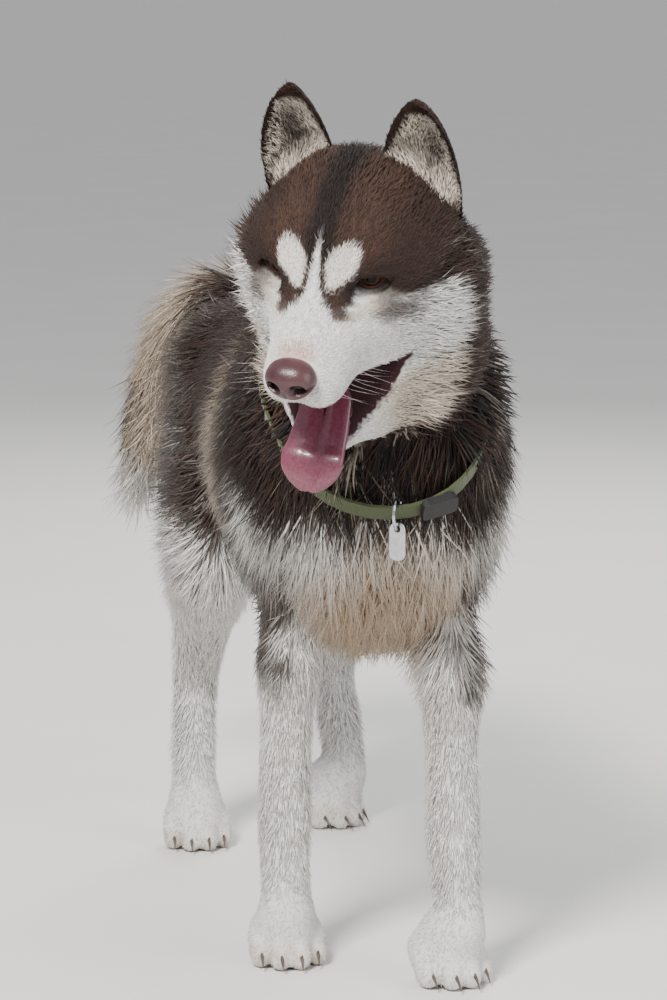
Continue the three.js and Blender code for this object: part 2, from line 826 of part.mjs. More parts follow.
const shoulderRows = (sign) =>
  [
    { height: 420, length: 48 },
    { height: 362, length: 44 },
  ].map(({ height, length }) => ({
    from: vector(sign * 58, -225, height),
    ways: fan(vector(0, 0, 1), vector(sign * 0.35, -1, 0), -sign * 4, sign * 62, 3),
    lie: vector(0, 0.15, -1),
    length,
    width: 20,
  }));
const breechRows = (sign) =>
  [
    { height: 428, length: 46 },
    { height: 372, length: 46 },
    { height: 320, length: 38 },
  ].map(({ height, length }) => ({
    from: vector(sign * 66, 180, height),
    ways: fan(vector(0, 0, 1), vector(sign * 0.4, 1, 0), -sign * 12, -sign * -34, 2),
    lie: vector(0, 0.25, -1),
    length,
    width: 22,
  }));
const tailRows = tailStations.slice(1, 5).map(([x, y, z], k) => {
  const [after, before] = [tailStations[k + 2], tailStations[k]];
  const along = vector(after[0] - before[0], after[1] - before[1], after[2] - before[2]).normalize();
  const back = vector(0.35, 0.9, 0.25).addScaledVector(along, -vector(0.35, 0.9, 0.25).dot(along)).normalize();
  return { from: vector(x, y, z), ways: fan(along, back, -84, 84, 4), lie: along, length: 44, width: 20 };
});
const headSide = side(nape, napeDirection);
const neckOfHead = side(nape, napeDirection.clone().negate());
const neckSide = side(neckBase, neckDirection);
const trunkSide = side(neckBase, neckDirection.clone().negate());

// A prism over an outline, which lies in the plane of the two axes that come after `across`.
function prism(outline, across, low, high, placement = new THREE.Matrix4()) {
  const shape = new THREE.Shape(outline.map(([a, b]) => new THREE.Vector2(a, b)));
  const geometry = new THREE.ExtrudeGeometry(shape, { depth: high - low, bevelEnabled: false });
  geometry.translate(0, 0, low);
  const turned = new THREE.Matrix4();
  if (across === "x") turned.set(0, 0, 1, 0, 1, 0, 0, 0, 0, 1, 0, 0, 0, 0, 0, 1);
  else turned.set(1, 0, 0, 0, 0, 0, 1, 0, 0, 1, 0, 0, 0, 0, 0, 1);
  geometry.applyMatrix4(turned);
  geometry.applyMatrix4(placement);
  return facingOut(meshData(geometry));
}

// Where the lower jaw is, below its lip's line and in front of the throat, and the open mouth over it
const jawUnder = [
  [-146, -112],
  [-120, -136],
  [-80, -128],
];
const mouthRegion = prism(
  [[...mouthCorner], [-200, upperLip], [-200, -136], ...jawUnder.slice(1), [...jawRoot]],
  "x",
  -46,
  46,
  headPlace,
);
const besideJaw = 45.5;
const jawOutline = [
  [mouthCorner[0] - 2 * gap, mouthCorner[1] - 3],
  ...lowerLip,
  jawUnder[0],
  [jawUnder[1][0], jawUnder[1][1] + gap],
  [jawUnder[2][0] - gap, jawUnder[2][1] + 2 * gap],
  [jawRoot[0] - 2 * gap, jawRoot[1]],
];
const jawRegion = prism(jawOutline, "x", -besideJaw, besideJaw, headPlace);

// Legs are parted from the trunk along a slanting face, and from their own lower lengths by level ones.
const legCut = (sign, inner, top, cutLow, cutHigh, from, to, shrink) =>
  prism(
    [
      [sign * (inner + shrink), cutLow + shrink],
      [sign * (inner + shrink), cutLow + 35],
      [sign * (inner + 22 + shrink), top - shrink],
      [sign * 260, top - shrink],
      [sign * 260, cutLow + shrink],
    ],
    "y",
    from + shrink,
    to - shrink,
  );

// Ears: two edges that meet at the tip, hollow in front
const earEdges = {
  inner: [
    [19, 26, 44],
    [28, 34, 92],
    [52, 37, 109],
  ],
  outer: [
    [80, 22, -2],
    [92, 30, 74],
    [52, 37, 109],
  ],
};
function ear(sign) {
  const edge = (name) =>
    new THREE.QuadraticBezierCurve3(...earEdges[name].map(([x, y, z]) => new THREE.Vector3(sign * x, y, z)));
  const [inner, outer] = [edge("inner"), edge("outer")];
  const rings = [];
  const levels = 7;
  for (let level = 0; level <= levels; level++) {
    const t = level / levels;
    const a = inner.getPoint(t * 0.985);
    const b = outer.getPoint(t * 0.985);
    const width = a.distanceTo(b);
    const ring = [];
    const arc = (share, deep) => {
      const p = a.clone().lerp(b, share);
      p.y += deep * 4 * share * (1 - share);
      return inHead(p.toArray());
    };
    const back = 0.42 * width;
    const wall = 5 + 0.05 * width;
    const hollow = Math.min(1, level / 2); // the root is solid
    for (const share of [0, 0.12, 0.32, 0.55, 0.78, 0.93, 1]) ring.push(arc(share, back));
    for (const share of [0.9, 0.7, 0.45, 0.2]) ring.push(arc(share, hollow * Math.max(back - wall * 1.6, -1)));
    rings.push(ring);
  }
  rings.push([inHead([sign * 52.5, 38, 110.5])]);
  return loft(rings);
}

// Claw: curved, pointing forward and down from the end of its toe, in the paw's frame
const clawLength = 13;
function claw({ x, y }, placement) {
  const rings = [];
  const around = 6;
  for (let step = 0; step <= 4; step++) {
    const t = step / 4;
    const radius = mix(3.1, 0.7, t);
    const [cy, cz] = [y + 6 - clawLength * t, 13.5 - 9.5 * t * t];
    const ring = [];
    for (let k = 0; k < around; k++) {
      const angle = (2 * Math.PI * k) / around;
      const p = new THREE.Vector3(x + 0.75 * radius * Math.cos(angle), cy, cz + radius * Math.sin(angle));
      ring.push(p.applyMatrix4(placement).toArray());
    }
    rings.push(ring);
  }
  return loft(rings);
}

// Tongue: out over the lower lip and hanging, in the head's frame: [y, z, half width, half thickness]
const tongueStations = [
  [-64, -71, 14, 4],
  [-88, -86, 19, 4.5],
  [-112, -101, 22, 4.5],
  [-130, -110, 24, 4.2],
  [-141, -113.5, 25.5, 3.8],
  [-149, -121, 24, 3.3],
  [-155, -129, 16, 3],
  [-158, -134, 7, 2.4],
];
function tongue() {
  const line = smoothStations(tongueStations, 2);
  const rings = line.map((s, i) => {
    const [y, z, width, thickness] = s;
    const next = line[Math.min(i + 1, line.length - 1)];
    const last = line[Math.max(i - 1, 0)];
    const along = new THREE.Vector2(next[0] - last[0], next[1] - last[1]).normalize();
    const [upY, upZ] = [along.y, -along.x];
    const ring = [];
    for (const [a, h] of [
      [-1, 0],
      [-0.8, -0.9],
      [-0.35, -1],
      [0.35, -1],
      [0.8, -0.9],
      [1, 0],
      [0.7, 0.9],
      [0.22, 0.85],
      [0, 0.75],
      [-0.22, 0.85],
      [-0.7, 0.9],
    ]) {
      ring.push(inHead([a * width, y + upY * h * thickness, z + upZ * h * thickness]));
    }
    return ring;
  });
  return loft(rings);
}

const ball = (half, middle, across = 16, down = 12) => {
  const geometry = new THREE.SphereGeometry(1, across, down);
  geometry.scale(...half);
  geometry.translate(...middle);
  return geometry;
};

// Eyelids: a ball over the eye with an almond-shaped opening
const almondWidth = 11.5;
const almondHeight = 4.4;
const almondSlant = 12; // degrees, the outer corner higher
const lidThickness = 2.2;
function almond(sign) {
  const shape = new THREE.Shape();
  shape.moveTo(-almondWidth, 0);
  shape.quadraticCurveTo(0, almondHeight * 2, almondWidth, 0);
  shape.quadraticCurveTo(0, -almondHeight * 1.8, -almondWidth, 0);
  const geometry = new THREE.ExtrudeGeometry(shape, { depth: 30, bevelEnabled: false, curveSegments: 7 });
  geometry.rotateZ((sign * almondSlant * Math.PI) / 180);
  geometry.rotateX(Math.PI / 2);
  geometry.rotateZ((sign * 16 * Math.PI) / 180);
  geometry.translate(sign * eyePlace[0], eyePlace[1], eyePlace[2]);
  geometry.applyMatrix4(headPlace);
  return facingOut(meshData(geometry));
}

const eyes = Object.fromEntries(
  [
    ["right", -1],
    ["left", 1],
  ].map(([name, sign]) => {
    const geometry = ball(Array(3).fill(eyeRadius), [sign * eyePlace[0], eyePlace[1], eyePlace[2]]);
    geometry.applyMatrix4(headPlace);
    return [name, solidOf(meshData(geometry))];
  }),
);
const lids = (sign) => {
  const half = Array(3).fill(eyeRadius + lidThickness);
  const geometry = ball(half, [sign * eyePlace[0], eyePlace[1], eyePlace[2]], 20, 14);
  geometry.applyMatrix4(headPlace);
  return solidOf(meshData(geometry)).subtract(almond(sign));
};

// Nose, with nostrils that open forward and to the side
const nosePlace = [0, -147, -22];
const noseHalf = [20, 15, 15.5];
const nostrilHalf = [4.4, 9, 3.8];
function noseSolid(extra = 0) {
  const geometry = ball(noseHalf.map((v) => v + extra), nosePlace);
  geometry.applyMatrix4(headPlace);
  return solidOf(meshData(geometry));
}
function nostril(sign) {
  const geometry = ball(nostrilHalf, [0, 0, 0], 10, 6);
  geometry.rotateZ((sign * 32 * Math.PI) / 180);
  geometry.translate(sign * 9, nosePlace[1] - 14, nosePlace[2] - 1.5);
  geometry.applyMatrix4(headPlace);
  return solidOf(meshData(geometry));
}

const ears = { right: ear(-1), left: ear(1) };
const tongueSolid = tongue();
const noseBody = noseSolid().subtract(nostril(-1)).subtract(nostril(1));

let head = sculpt(withHead, [-230, -560, 440], [110, -280, 760], 5, 2250);
head = withLocks(head, headForm, cheekRows, 3);
head = head.add(lids(-1)).add(lids(1)).subtract(almond(-1)).subtract(almond(1));
head = head.subtract(mouthRegion).intersect(headSide);
head = head.subtract(noseSolid(gap * 1.3));
for (const name of ["right", "left"]) {
  head = head.subtract(grown(eyes[name], gap)).subtract(grown(ears[name], gap));
}
head = head.subtract(grown(tongueSolid, gap));
addNode("head", head, brownFur);
addNode(
  "lower_jaw",
  sculpt(headForm, [-200, -520, 420], [60, -340, 620], 5, 700)
    .intersect(jawRegion)
    .subtract(grown(tongueSolid, gap)),
  whiteFur,
);
addNode("tongue", tongueSolid, tongueSkin);
addNode("nose", noseBody, noseSkin);
for (const name of ["right", "left"]) {
  addNode(`eye_${name}`, eyes[name], eyeSurface);
  addNode(`ear_${name}`, ears[name], brownFur);
}

// Collar: a band round the neck, let into the coat more at the back than at the throat
const collarMiddle = new THREE.Vector3(0, -282, 489);
const collarAxis = new THREE.Vector3(-0.08, -0.7, 0.71).normalize();
const bandWidth = 15;
const bandThickness = 2.6;
function onNeck(angle, depth) {
  const acrossNeck = new THREE.Vector3(1, 0, 0).cross(collarAxis).normalize();
  const sideways = collarAxis.clone().cross(acrossNeck).normalize();
  const out = sideways.multiplyScalar(Math.sin(angle)).addScaledVector(acrossNeck, Math.cos(angle));
  let [near, far] = [10, 220];
  for (let i = 0; i < 30; i++) {
    const middle = (near + far) / 2;
    const p = collarMiddle.clone().addScaledVector(out, middle);
    if (bodyForm(p.x, p.y, p.z) < -depth) near = middle;
    else far = middle;
  }
  return { point: collarMiddle.clone().addScaledVector(out, near), out };
}
const collarDepth = (angle) => mix(1.5, 12, Math.min(1, (1 - Math.cos(angle - throatAngle)) * 1.4));
const throatAngle = (() => {
  let best = 0;
  for (let k = 0; k < 72; k++) {
    const angle = (k * Math.PI) / 36;
    if (onNeck(angle, 0).point.z < onNeck(best, 0).point.z) best = angle;
  }
  return best;
})();
const collarSteps = 40;
const collarRings = [];
for (let k = 0; k < collarSteps; k++) {
  const angle = throatAngle + (2 * Math.PI * k) / collarSteps;
  const { point, out } = onNeck(angle, collarDepth(angle));
  const corner = (r, a) =>
    point.clone().addScaledVector(out, r).addScaledVector(collarAxis, a * bandWidth).toArray();
  collarRings.push([corner(0, -0.5), corner(bandThickness, -0.5), corner(bandThickness, 0.5), corner(0, 0.5)]);
}
const collar = loft(collarRings, true);

// A piece on the band: its own x along the band, y across it and z outward
const leftward = Math.sign(onNeck(throatAngle + 0.1, 0).point.x - onNeck(throatAngle - 0.1, 0).point.x);
function onBand(shift, lift) {
  const angle = throatAngle + leftward * shift;
  const { point, out } = onNeck(angle, collarDepth(angle));
  const along = collarAxis.clone().cross(out).normalize();
  return new THREE.Matrix4().makeBasis(along, collarAxis, out).setPosition(point.addScaledVector(out, lift));
}
function roundedPlate(width, height, corner, thickness, holes = []) {
  const [w, h] = [width / 2, height / 2];
  const shape = new THREE.Shape();
  shape.moveTo(-w + corner, -h);
  shape.lineTo(w - corner, -h).quadraticCurveTo(w, -h, w, -h + corner);
  shape.lineTo(w, h - corner).quadraticCurveTo(w, h, w - corner, h);
  shape.lineTo(-w + corner, h).quadraticCurveTo(-w, h, -w, h - corner);
  shape.lineTo(-w, -h + corner).quadraticCurveTo(-w, -h, -w + corner, -h);
  shape.holes.push(...holes);
  return new THREE.ExtrudeGeometry(shape, { depth: thickness, bevelEnabled: false, curveSegments: 4 });
}
const buckleSize = [30, 19, 7];
const buckleGeometry = roundedPlate(buckleSize[0], buckleSize[1], 5, buckleSize[2]);
buckleGeometry.applyMatrix4(onBand(0.36, bandThickness));
const buckle = facingOut(meshData(buckleGeometry)).subtract(grown(collar, gap));

// The ring goes round the band and hangs upright, turned a little; the tag hangs on its lowest point.
const ringRadius = 12.5;
const ringWire = 1.3;
const ringTurn = -25; // degrees about the vertical, from square to the band
const tagSize = [13, 30, 1.6];
const tagHole = 2.7;
const ringMiddle = new THREE.Vector3(0, 0, 0).applyMatrix4(onBand(0.05, bandThickness / 2)).add(
  new THREE.Vector3(0, -1.2, -0.6),
);
const ringPlace = new THREE.Matrix4()
  .makeRotationZ(((90 + ringTurn) * Math.PI) / 180)
  .multiply(new THREE.Matrix4().makeRotationX(Math.PI / 2))
  .setPosition(ringMiddle);
const ringGeometry = new THREE.TorusGeometry(ringRadius, ringWire, 6, 20);
ringGeometry.applyMatrix4(ringPlace);
const ring = facingOut(meshData(ringGeometry));
const hole = new THREE.Path().absarc(0, tagSize[1] / 2 - 5, tagHole, 0, 2 * Math.PI, true);
const tagGeometry = roundedPlate(tagSize[0], tagSize[1], 6, tagSize[2], [hole]);
tagGeometry.translate(0, -tagSize[1] / 2 + 5 - ringRadius, -tagSize[2] / 2);
tagGeometry.rotateY(Math.PI / 2);
tagGeometry.applyMatrix4(ringPlace);
const tag = facingOut(meshData(tagGeometry));

let neckSolid = withLocks(sculpt(withHead, [-160, -480, 300], [130, -150, 740], 9, 900), bodyForm, ruffRows, 5)
  .intersect(neckOfHead)
  .intersect(neckSide)
  .subtract(mouthRegion);
for (const piece of [collar, tongueSolid, buckle, ring, tag]) neckSolid = neckSolid.subtract(grown(piece, gap));
addNode("neck", neckSolid, brownFur);
addNode("collar", collar, webbing);
addNode("collar_buckle", buckle, blackPlastic);
addNode("collar_ring", ring, steel);
addNode("tag", tag, steel);

// Trunk, legs and tail
const legNames = { right: -1, left: 1 };
const elbow = 268;
const stifle = 258;
const wrist = 66;
const hock = 158;
const shoulderTop = 470;
const hipTop = 470;
const tailRoot = 300;
const foreCut = (sign, shrink) => legCut(sign, 28, shoulderTop, elbow, 0, -460, -118, shrink);
const hindCut = (sign, shrink) => legCut(sign, 20, hipTop, stifle, 0, 88, tailRoot, shrink);
const tailBox = (shrink) => blockBetween([-240, tailRoot + shrink, 290], [70, 520, 640]);
const torsoForm = sculpt(bodyForm, [-150, -400, 230], [150, 330, 620], 12, 1050);
let torso = withLocks(torsoForm, bodyForm, [...chestRows, withersRow], 7)
  .intersect(trunkSide)
  .subtract(tailBox(0))
  .subtract(blockBetween([-300, -500, 0], [300, 500, elbow]));
for (const sign of [-1, 1]) torso = torso.subtract(foreCut(sign, 0)).subtract(hindCut(sign, 0));
for (const piece of [ring, tag]) torso = torso.subtract(grown(piece, gap));
addNode("torso", torso, brownFur);

for (const [name, sign] of Object.entries(legNames)) {
  const fore = sculpt(
    blended(bodyForm, pawForms[`front_${name}`], 14),
    [sign > 0 ? 0 : -150, -400, -10],
    [sign > 0 ? 150 : 0, -90, 520],
    7,
    1080,
  );
  const below = (z) => blockBetween([-400, -700, -50], [400, 700, z - gap / 2]);
  const above = (z) => blockBetween([-400, -700, z + gap / 2], [400, 700, 900]);
  const shoulder = withLocks(fore, bodyForm, shoulderRows(sign), 9);
  addNode(`shoulder_${name}`, shoulder.intersect(foreCut(sign, gap)).intersect(trunkSide), brownFur);
  addNode(`foreleg_${name}`, fore.intersect(below(elbow)).intersect(above(wrist)), whiteFur);
  let paw = fore.intersect(below(wrist)).intersect(above(-gap / 2));
  const hind = sculpt(
    blended(bodyForm, pawForms[`hind_${name}`], 14),
    [sign > 0 ? 0 : -150, 60, -10],
    [sign > 0 ? 150 : 0, tailRoot + 130, 520],
    7,
    1080,
  );
  const thigh = withLocks(hind, bodyForm, breechRows(sign), 11)
    .intersect(hindCut(sign, gap))
    .intersect(blockBetween([-300, 0, 0], [300, tailRoot - gap, 600]));
  addNode(`thigh_${name}`, thigh, brownFur);
  addNode(`shank_${name}`, hind.intersect(below(stifle)).intersect(above(hock)), whiteFur);
  let foot = hind.intersect(below(hock)).intersect(above(-gap / 2));
  for (const [k, toe] of toes.entries()) {
    const frontClaw = claw(toe, pawPlace(footprint(`front_${name}`)));
    const hindClaw = claw(toe, pawPlace(footprint(`hind_${name}`)));
    paw = paw.subtract(grown(frontClaw, gap));
    foot = foot.subtract(grown(hindClaw, gap));
    addNode(`claw_front_${name}_${k + 1}`, frontClaw, clawHorn);
    addNode(`claw_hind_${name}_${k + 1}`, hindClaw, clawHorn);
  }
  addNode(`forepaw_${name}`, paw, whiteFur);
  addNode(`hind_foot_${name}`, foot, whiteFur);
}

const tailForm = sculpt(bodyForm, [-200, 230, 280], [80, 460, 600], 8, 900);
const tailSolid = withLocks(tailForm, bodyForm, tailRows, 13).intersect(tailBox(gap));
const tailCuts = [460, 380];
const level = (low, high) => blockBetween([-400, 0, low + gap / 2], [400, 700, high - gap / 2]);
addNode("tail_base", tailSolid.intersect(level(tailCuts[0], 900)), brownFur);
addNode("tail_middle", tailSolid.intersect(level(tailCuts[1], tailCuts[0])), brownFur);
addNode("tail_tip", tailSolid.intersect(level(0, tailCuts[1])), creamFur);

const whole = new THREE.Box3().setFromObject(dog);
const middle = whole.getCenter(new THREE.Vector3());
dog.position.set(-middle.x, -middle.y, -whole.min.z);

export default dog;
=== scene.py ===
"""A life-size Siberian husky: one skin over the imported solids, its coat of tufts, its face and its collar."""
import math

import bmesh
import bpy
import numpy as np
from mathutils import Matrix, Vector


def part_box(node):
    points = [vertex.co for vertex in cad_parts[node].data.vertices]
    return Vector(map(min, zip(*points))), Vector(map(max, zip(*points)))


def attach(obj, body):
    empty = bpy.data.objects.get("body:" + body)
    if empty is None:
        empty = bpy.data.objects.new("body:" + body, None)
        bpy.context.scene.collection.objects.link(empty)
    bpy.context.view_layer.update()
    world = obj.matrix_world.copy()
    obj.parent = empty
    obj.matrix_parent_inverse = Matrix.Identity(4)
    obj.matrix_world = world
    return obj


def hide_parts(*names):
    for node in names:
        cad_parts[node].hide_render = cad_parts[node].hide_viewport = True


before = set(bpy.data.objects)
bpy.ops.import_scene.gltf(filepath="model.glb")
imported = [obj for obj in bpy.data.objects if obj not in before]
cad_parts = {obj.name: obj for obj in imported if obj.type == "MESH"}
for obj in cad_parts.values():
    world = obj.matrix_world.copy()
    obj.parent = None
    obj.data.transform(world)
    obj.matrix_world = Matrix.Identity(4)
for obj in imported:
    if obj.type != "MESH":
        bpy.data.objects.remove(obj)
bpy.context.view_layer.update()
rng = np.random.default_rng(11)
MM = 0.001

# Sizes of the animal, in millimetres, in the frame where its own middle is the origin
SKULL = np.array([-41.0, -376.0, 638.0])
HEAD_TURN, HEAD_DROP, HEAD_TILT = -37.0, 38.0, 8.0
EYE = np.array([36.0, -52.0, 6.0])
EYE_RADIUS = 11.5
EYE_LOOK = 2.8  # how far the opening between the lids lies above the eye's middle
STANCE = {
    "front_right": (-64, -213, 2),
    "front_left": (68, -297, 12),
    "hind_right": (-80, 219, 3),
    "hind_left": (82, 291, 28),
}


def turning(axis, degrees):
    return np.array(Matrix.Rotation(math.radians(degrees), 3, axis))


HEAD_AXES = turning("Z", HEAD_TURN) @ turning("X", HEAD_DROP) @ turning("Y", HEAD_TILT)


def in_head(points):
    """From the head's own frame, nose towards -Y, to the animal's."""
    return np.asarray(points, float) @ HEAD_AXES.T + SKULL


def to_head(points):
    return (np.asarray(points, float) - SKULL) @ HEAD_AXES


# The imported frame's origin, found from an eye, which both frames hold
SHIFT = np.array(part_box("eye_left")).mean(0) / MM - in_head(EYE)


def placed(points):
    """From the animal's millimetres to the frame's metres."""
    return (np.asarray(points, float) + SHIFT) * MM


def smooth(low, high, value):
    t = np.clip((value - low) / (high - low), 0, 1)
    return t * t * (3 - 2 * t)


def mix(a, b, t):
    return a + (b - a) * t


# Smooth forms: distances to swept and egg-shaped parts that blend into one another

def smooth_stations(stations, steps):
    s = np.array(stations, float)
    padded = np.vstack([s[:1], s, s[-1:]])
    made = []
    for i in range(len(s) - 1):
        a, b, c, d = padded[i:i + 4]
        for t in np.arange(steps) / steps:
            made.append(0.5 * (2 * b + (c - a) * t + (2 * a - 5 * b + 4 * c - d) * t ** 2
                               + (3 * b - a - 3 * c + d) * t ** 3))
    made.append(s[-1])
    return np.array(made)


def scaled_distance(offset, half):
    q = np.sqrt(((offset / half) ** 2).sum(1))
    slope = np.sqrt(((offset / half ** 2) ** 2).sum(1))
    return q * (q - 1) / np.maximum(slope, 1e-6)


class Stretch:
    """A stretch of body or limb, with stations x, y, z, half width and half depth along its middle."""

    def __init__(self, stations, blend, steps=3):
        self.line = smooth_stations(stations, steps)
        reach = self.line[:, 3:5].max(1)[:, None]
        self.low = (self.line[:, :3] - reach).min(0)
        self.high = (self.line[:, :3] + reach).max(0)
        self.blend = blend

    def distance(self, points):
        nearest = np.full(len(points), 1e9)
        for a, b in zip(self.line[:-1], self.line[1:]):
            u = b[:3] - a[:3]
            t = np.clip((points - a[:3]) @ u / (u @ u), 0, 1)[:, None]
            half = a[3:5] + (b[3:5] - a[3:5]) * t
            nearest = np.minimum(nearest, scaled_distance(points - a[:3] - u * t, half[:, [0, 1, 1]]))
        return nearest


class Egg:
    def __init__(self, middle, half, blend):
        self.middle, self.half, self.blend = np.array(middle, float), np.array(half, float), blend
        self.low, self.high = self.middle - self.half, self.middle + self.half

    def distance(self, points):
        return scaled_distance(points - self.middle, self.half)


def mirrored(middle, half, blend):
    return [Egg((side * middle[0], middle[1], middle[2]), half, blend) for side in (1, -1)]


def blended(a, b, k):
    h = np.maximum(k - np.abs(a - b), 0) / k
    return np.minimum(a, b) - 0.25 * h * h * k


def form(parts, points):
    total = np.full(len(points), 400.0)
    for part in parts:
        outside = np.maximum(np.maximum(part.low - points, points - part.high), 0)
        near = np.flatnonzero(np.sqrt((outside ** 2).sum(1)) <= total + part.blend)
        if len(near):
            total[near] = blended(total[near], part.distance(points[near]), part.blend)
    return total


TRUNK = Stretch([
    (0, -236, 418, 102, 118), (0, -200, 424, 110, 146), (0, -120, 427, 116, 147), (0, -20, 434, 113, 133),
    (0, 70, 444, 101, 117), (0, 150, 454, 95, 104), (0, 205, 454, 92, 92)], 60)
NECK = Stretch([
    (0, -222, 470, 96, 108), (-4, -272, 512, 96, 106), (-18, -322, 560, 93, 96),
    (-34, -362, 602, 84, 82)], 60)
TAIL = Stretch([
    (-4, 262, 516, 34, 30), (-36, 312, 526, 38, 40), (-66, 346, 500, 41, 42), (-84, 368, 450, 42, 42),
    (-98, 380, 396, 36, 36), (-110, 386, 352, 24, 24), (-117, 388, 322, 9, 9)], 16)


def fore_leg(side, x, y):
    column = y + 40
    return Stretch([
        (side * 58, -222, 440, 50, 74),
        (side * 62, mix(-205, column, 0.35), 372, 42, 60),
        (side * 61, mix(-200, column, 0.7), 312, 31, 42),
        (mix(side * 60, x, 0.3), column - 2, 262, 27, 32),
        (mix(side * 60, x, 0.55), column + 4, 200, 22, 25),
        (mix(side * 60, x, 0.8), column + 5, 130, 22.5, 24),
        (mix(side * 60, x, 0.95), column - 2, 80, 21, 22),
        (x, column - 12, 46, 22, 24)], 34)


def hind_leg(side, x, y):
    hock_x, hock_y = mix(side * 70, x, 0.4), y + 74
    return Stretch([
        (side * 56, 200, 442, 56, 84),
        (side * 72, 176, 368, 46, 76),
        (side * 78, mix(150, y - 40, 0.4), 300, 39, 56),
        (mix(side * 74, hock_x, 0.5), mix(168, hock_y - 26, 0.6), 240, 29, 40),
        (hock_x, mix(168, hock_y, 0.85), 190, 23, 29),
        (hock_x, hock_y, 148, 20.5, 25),
        (mix(hock_x, x, 0.6), hock_y - 14, 95, 20, 22),
        (x, y + 44, 48, 22, 24)], 34)


PAW_WIDTH = 62
TOES = [(share * PAW_WIDTH, 13 if abs(share) > 0.2 else 0) for share in (-0.385, -0.135, 0.135, 0.385)]
PAW = [Egg((0, 42, 20), (28, 34, 24), 20), Egg((0, 44, 40), (22, 25, 24), 20)] + [
    Stretch([(0.72 * x, y + 42, 28, 13, 14), (0.95 * x, y + 24, 21, 11.5, 13.5),
             (x, y + 11, 10, 10.2, 11.6)], 5)
    for x, y in TOES]

NOSE_MIDDLE, NOSE_HALF = np.array([0.0, -147.0, -22.0]), np.array([20.0, 15.0, 15.5])
UPPER_LIP = -60.0
MOUTH_CORNER = (-70.0, -58.0)
LOWER_LIP = [(-200.0, -165.0), (-128.0, -111.0), (-104.0, -94.0), (-84.0, -77.0), MOUTH_CORNER]
HEAD = (
    [Egg((0, 8, 8), (60, 66, 56), 30)]
    + mirrored((24, -44, 16), (27, 26, 21), 22)
    + mirrored((39, -18, -18), (34, 46, 40), 26)
    + mirrored((56, 14, -38), (36, 44, 48), 30)
    + [Egg((0, 14, -58), (56, 54, 44), 30)]
    + [Stretch([(0, -42, -14, 40, 30), (0, -72, -22, 37, 32), (0, -104, -28, 33, 32),
                (0, -122, -33, 29, 27)], 20)]
    + mirrored((16, -120, -43), (17, 28, 18), 12)
    + [Stretch([(0, -46, -84, 37, 24), (0, -80, -98, 35, 21), (0, -104, -108, 29, 16),
                (0, -116, -114, 22, 12)], 22)])
BODY = [TRUNK, NECK] + [
    (fore_leg if name.startswith("front") else hind_leg)(-1 if name.endswith("right") else 1, x, y)
    for name, (x, y, _) in STANCE.items()] + [TAIL]


def lower_lip_height(y):
    ys, zs = zip(*LOWER_LIP)
    return np.interp(y, ys, zs)


def mouth(local):
    """Negative in the open mouth, between the lips' lines."""
    y, z = local[:, 1], local[:, 2]
    return np.maximum(np.maximum(z - UPPER_LIP, lower_lip_height(y) - z), y - MOUTH_CORNER[0])


def fields(points):
    """Distances to the head and to the whole outer form of the coat."""
    body = form(BODY, points)
    head = np.full(len(points), 400.0)
    near = np.flatnonzero(((points - SKULL) ** 2).sum(1) < 260 ** 2)
    local = to_head(points[near])
    head[near] = form(HEAD, local)
    whole = blended(body, head, 34)
    low = np.flatnonzero(points[:, 2] < 120)
    for name, (x, y, turn) in STANCE.items():
        spin = turning("Z", turn * (1 if name.endswith("left") else -1))
        whole[low] = blended(whole[low], form(PAW, (points[low] - (x, y, 0)) @ spin), 14)
    return head, whole


def zones(points):
    """How much of each point belongs to the head, the tail, the legs, and the face, from 0 to 1."""
    local = to_head(points)
    on_head = smooth(62, 20, local[:, 1]) * smooth(-150, -122, local[:, 2]) * (np.abs(local).max(1) < 240)
    tail = smooth(12, -12, TAIL.distance(points) - form([TRUNK], points)) * smooth(285, 315, points[:, 1])
    tail *= smooth(270, 300, points[:, 2])
    legs = smooth(345, 235, points[:, 2]) * (1 - on_head) * (1 - tail)
    cheek = smooth(44, 72, np.abs(local[:, 0])) * smooth(10, -12, local[:, 2])
    throat = smooth(-84, -108, local[:, 2]) * smooth(-96, -66, local[:, 1])
    face = on_head * smooth(6, -44, local[:, 1]) * (1 - np.maximum(cheek, throat))
    return on_head, tail, legs, face, local


# How far the skin lies under the outer form of the coat, in millimetres
DEPTH = {"body": 17.0, "neck": 20.0, "head": 4.0, "cheeks": 11.0, "face": 1.4, "tail": 19.0, "legs": 2.6,
         "paws": 1.2}


def coat_depth(points):
    on_head, tail, legs, face, local = zones(points)
    cheek = smooth(46, 74, np.abs(local[:, 0])) * smooth(10, -16, local[:, 2])
    cheek = cheek + smooth(-66, -96, local[:, 2])
    depth = mix(DEPTH["body"], DEPTH["neck"], smooth(-180, -260, points[:, 1]))
    depth = mix(depth, mix(DEPTH["head"], DEPTH["cheeks"], np.clip(cheek, 0, 1)), on_head)
    depth = mix(mix(depth, DEPTH["face"], face), DEPTH["tail"], tail)
    return mix(depth, mix(DEPTH["legs"], DEPTH["paws"], smooth(80, 50, points[:, 2])), legs)


# Skin: the coat's form drawn in by its depth, as one surface

CELL = 3.5
BLOCK, NEAR = 4, 7  # cells along a block, and from its middle to a surface that may cross it
BATCH = 200000
LOW = np.array([-165.0, -505.0, -9.0])
HIGH = np.array([150.0, 445.0, 745.0])
SOCKET = (15.0, 9.5)  # half width and half height of the opening in the skin round an eye


def eye_axes(sign):
    """The ways ahead of an eye, to its left and up, in the head's frame."""
    turn = sign * math.radians(16)
    ahead = np.array([math.sin(turn), -math.cos(turn), 0.0])
    aside = np.array([math.cos(turn), math.sin(turn), 0.0])
    return ahead, aside, np.array([0.0, 0.0, 1.0])


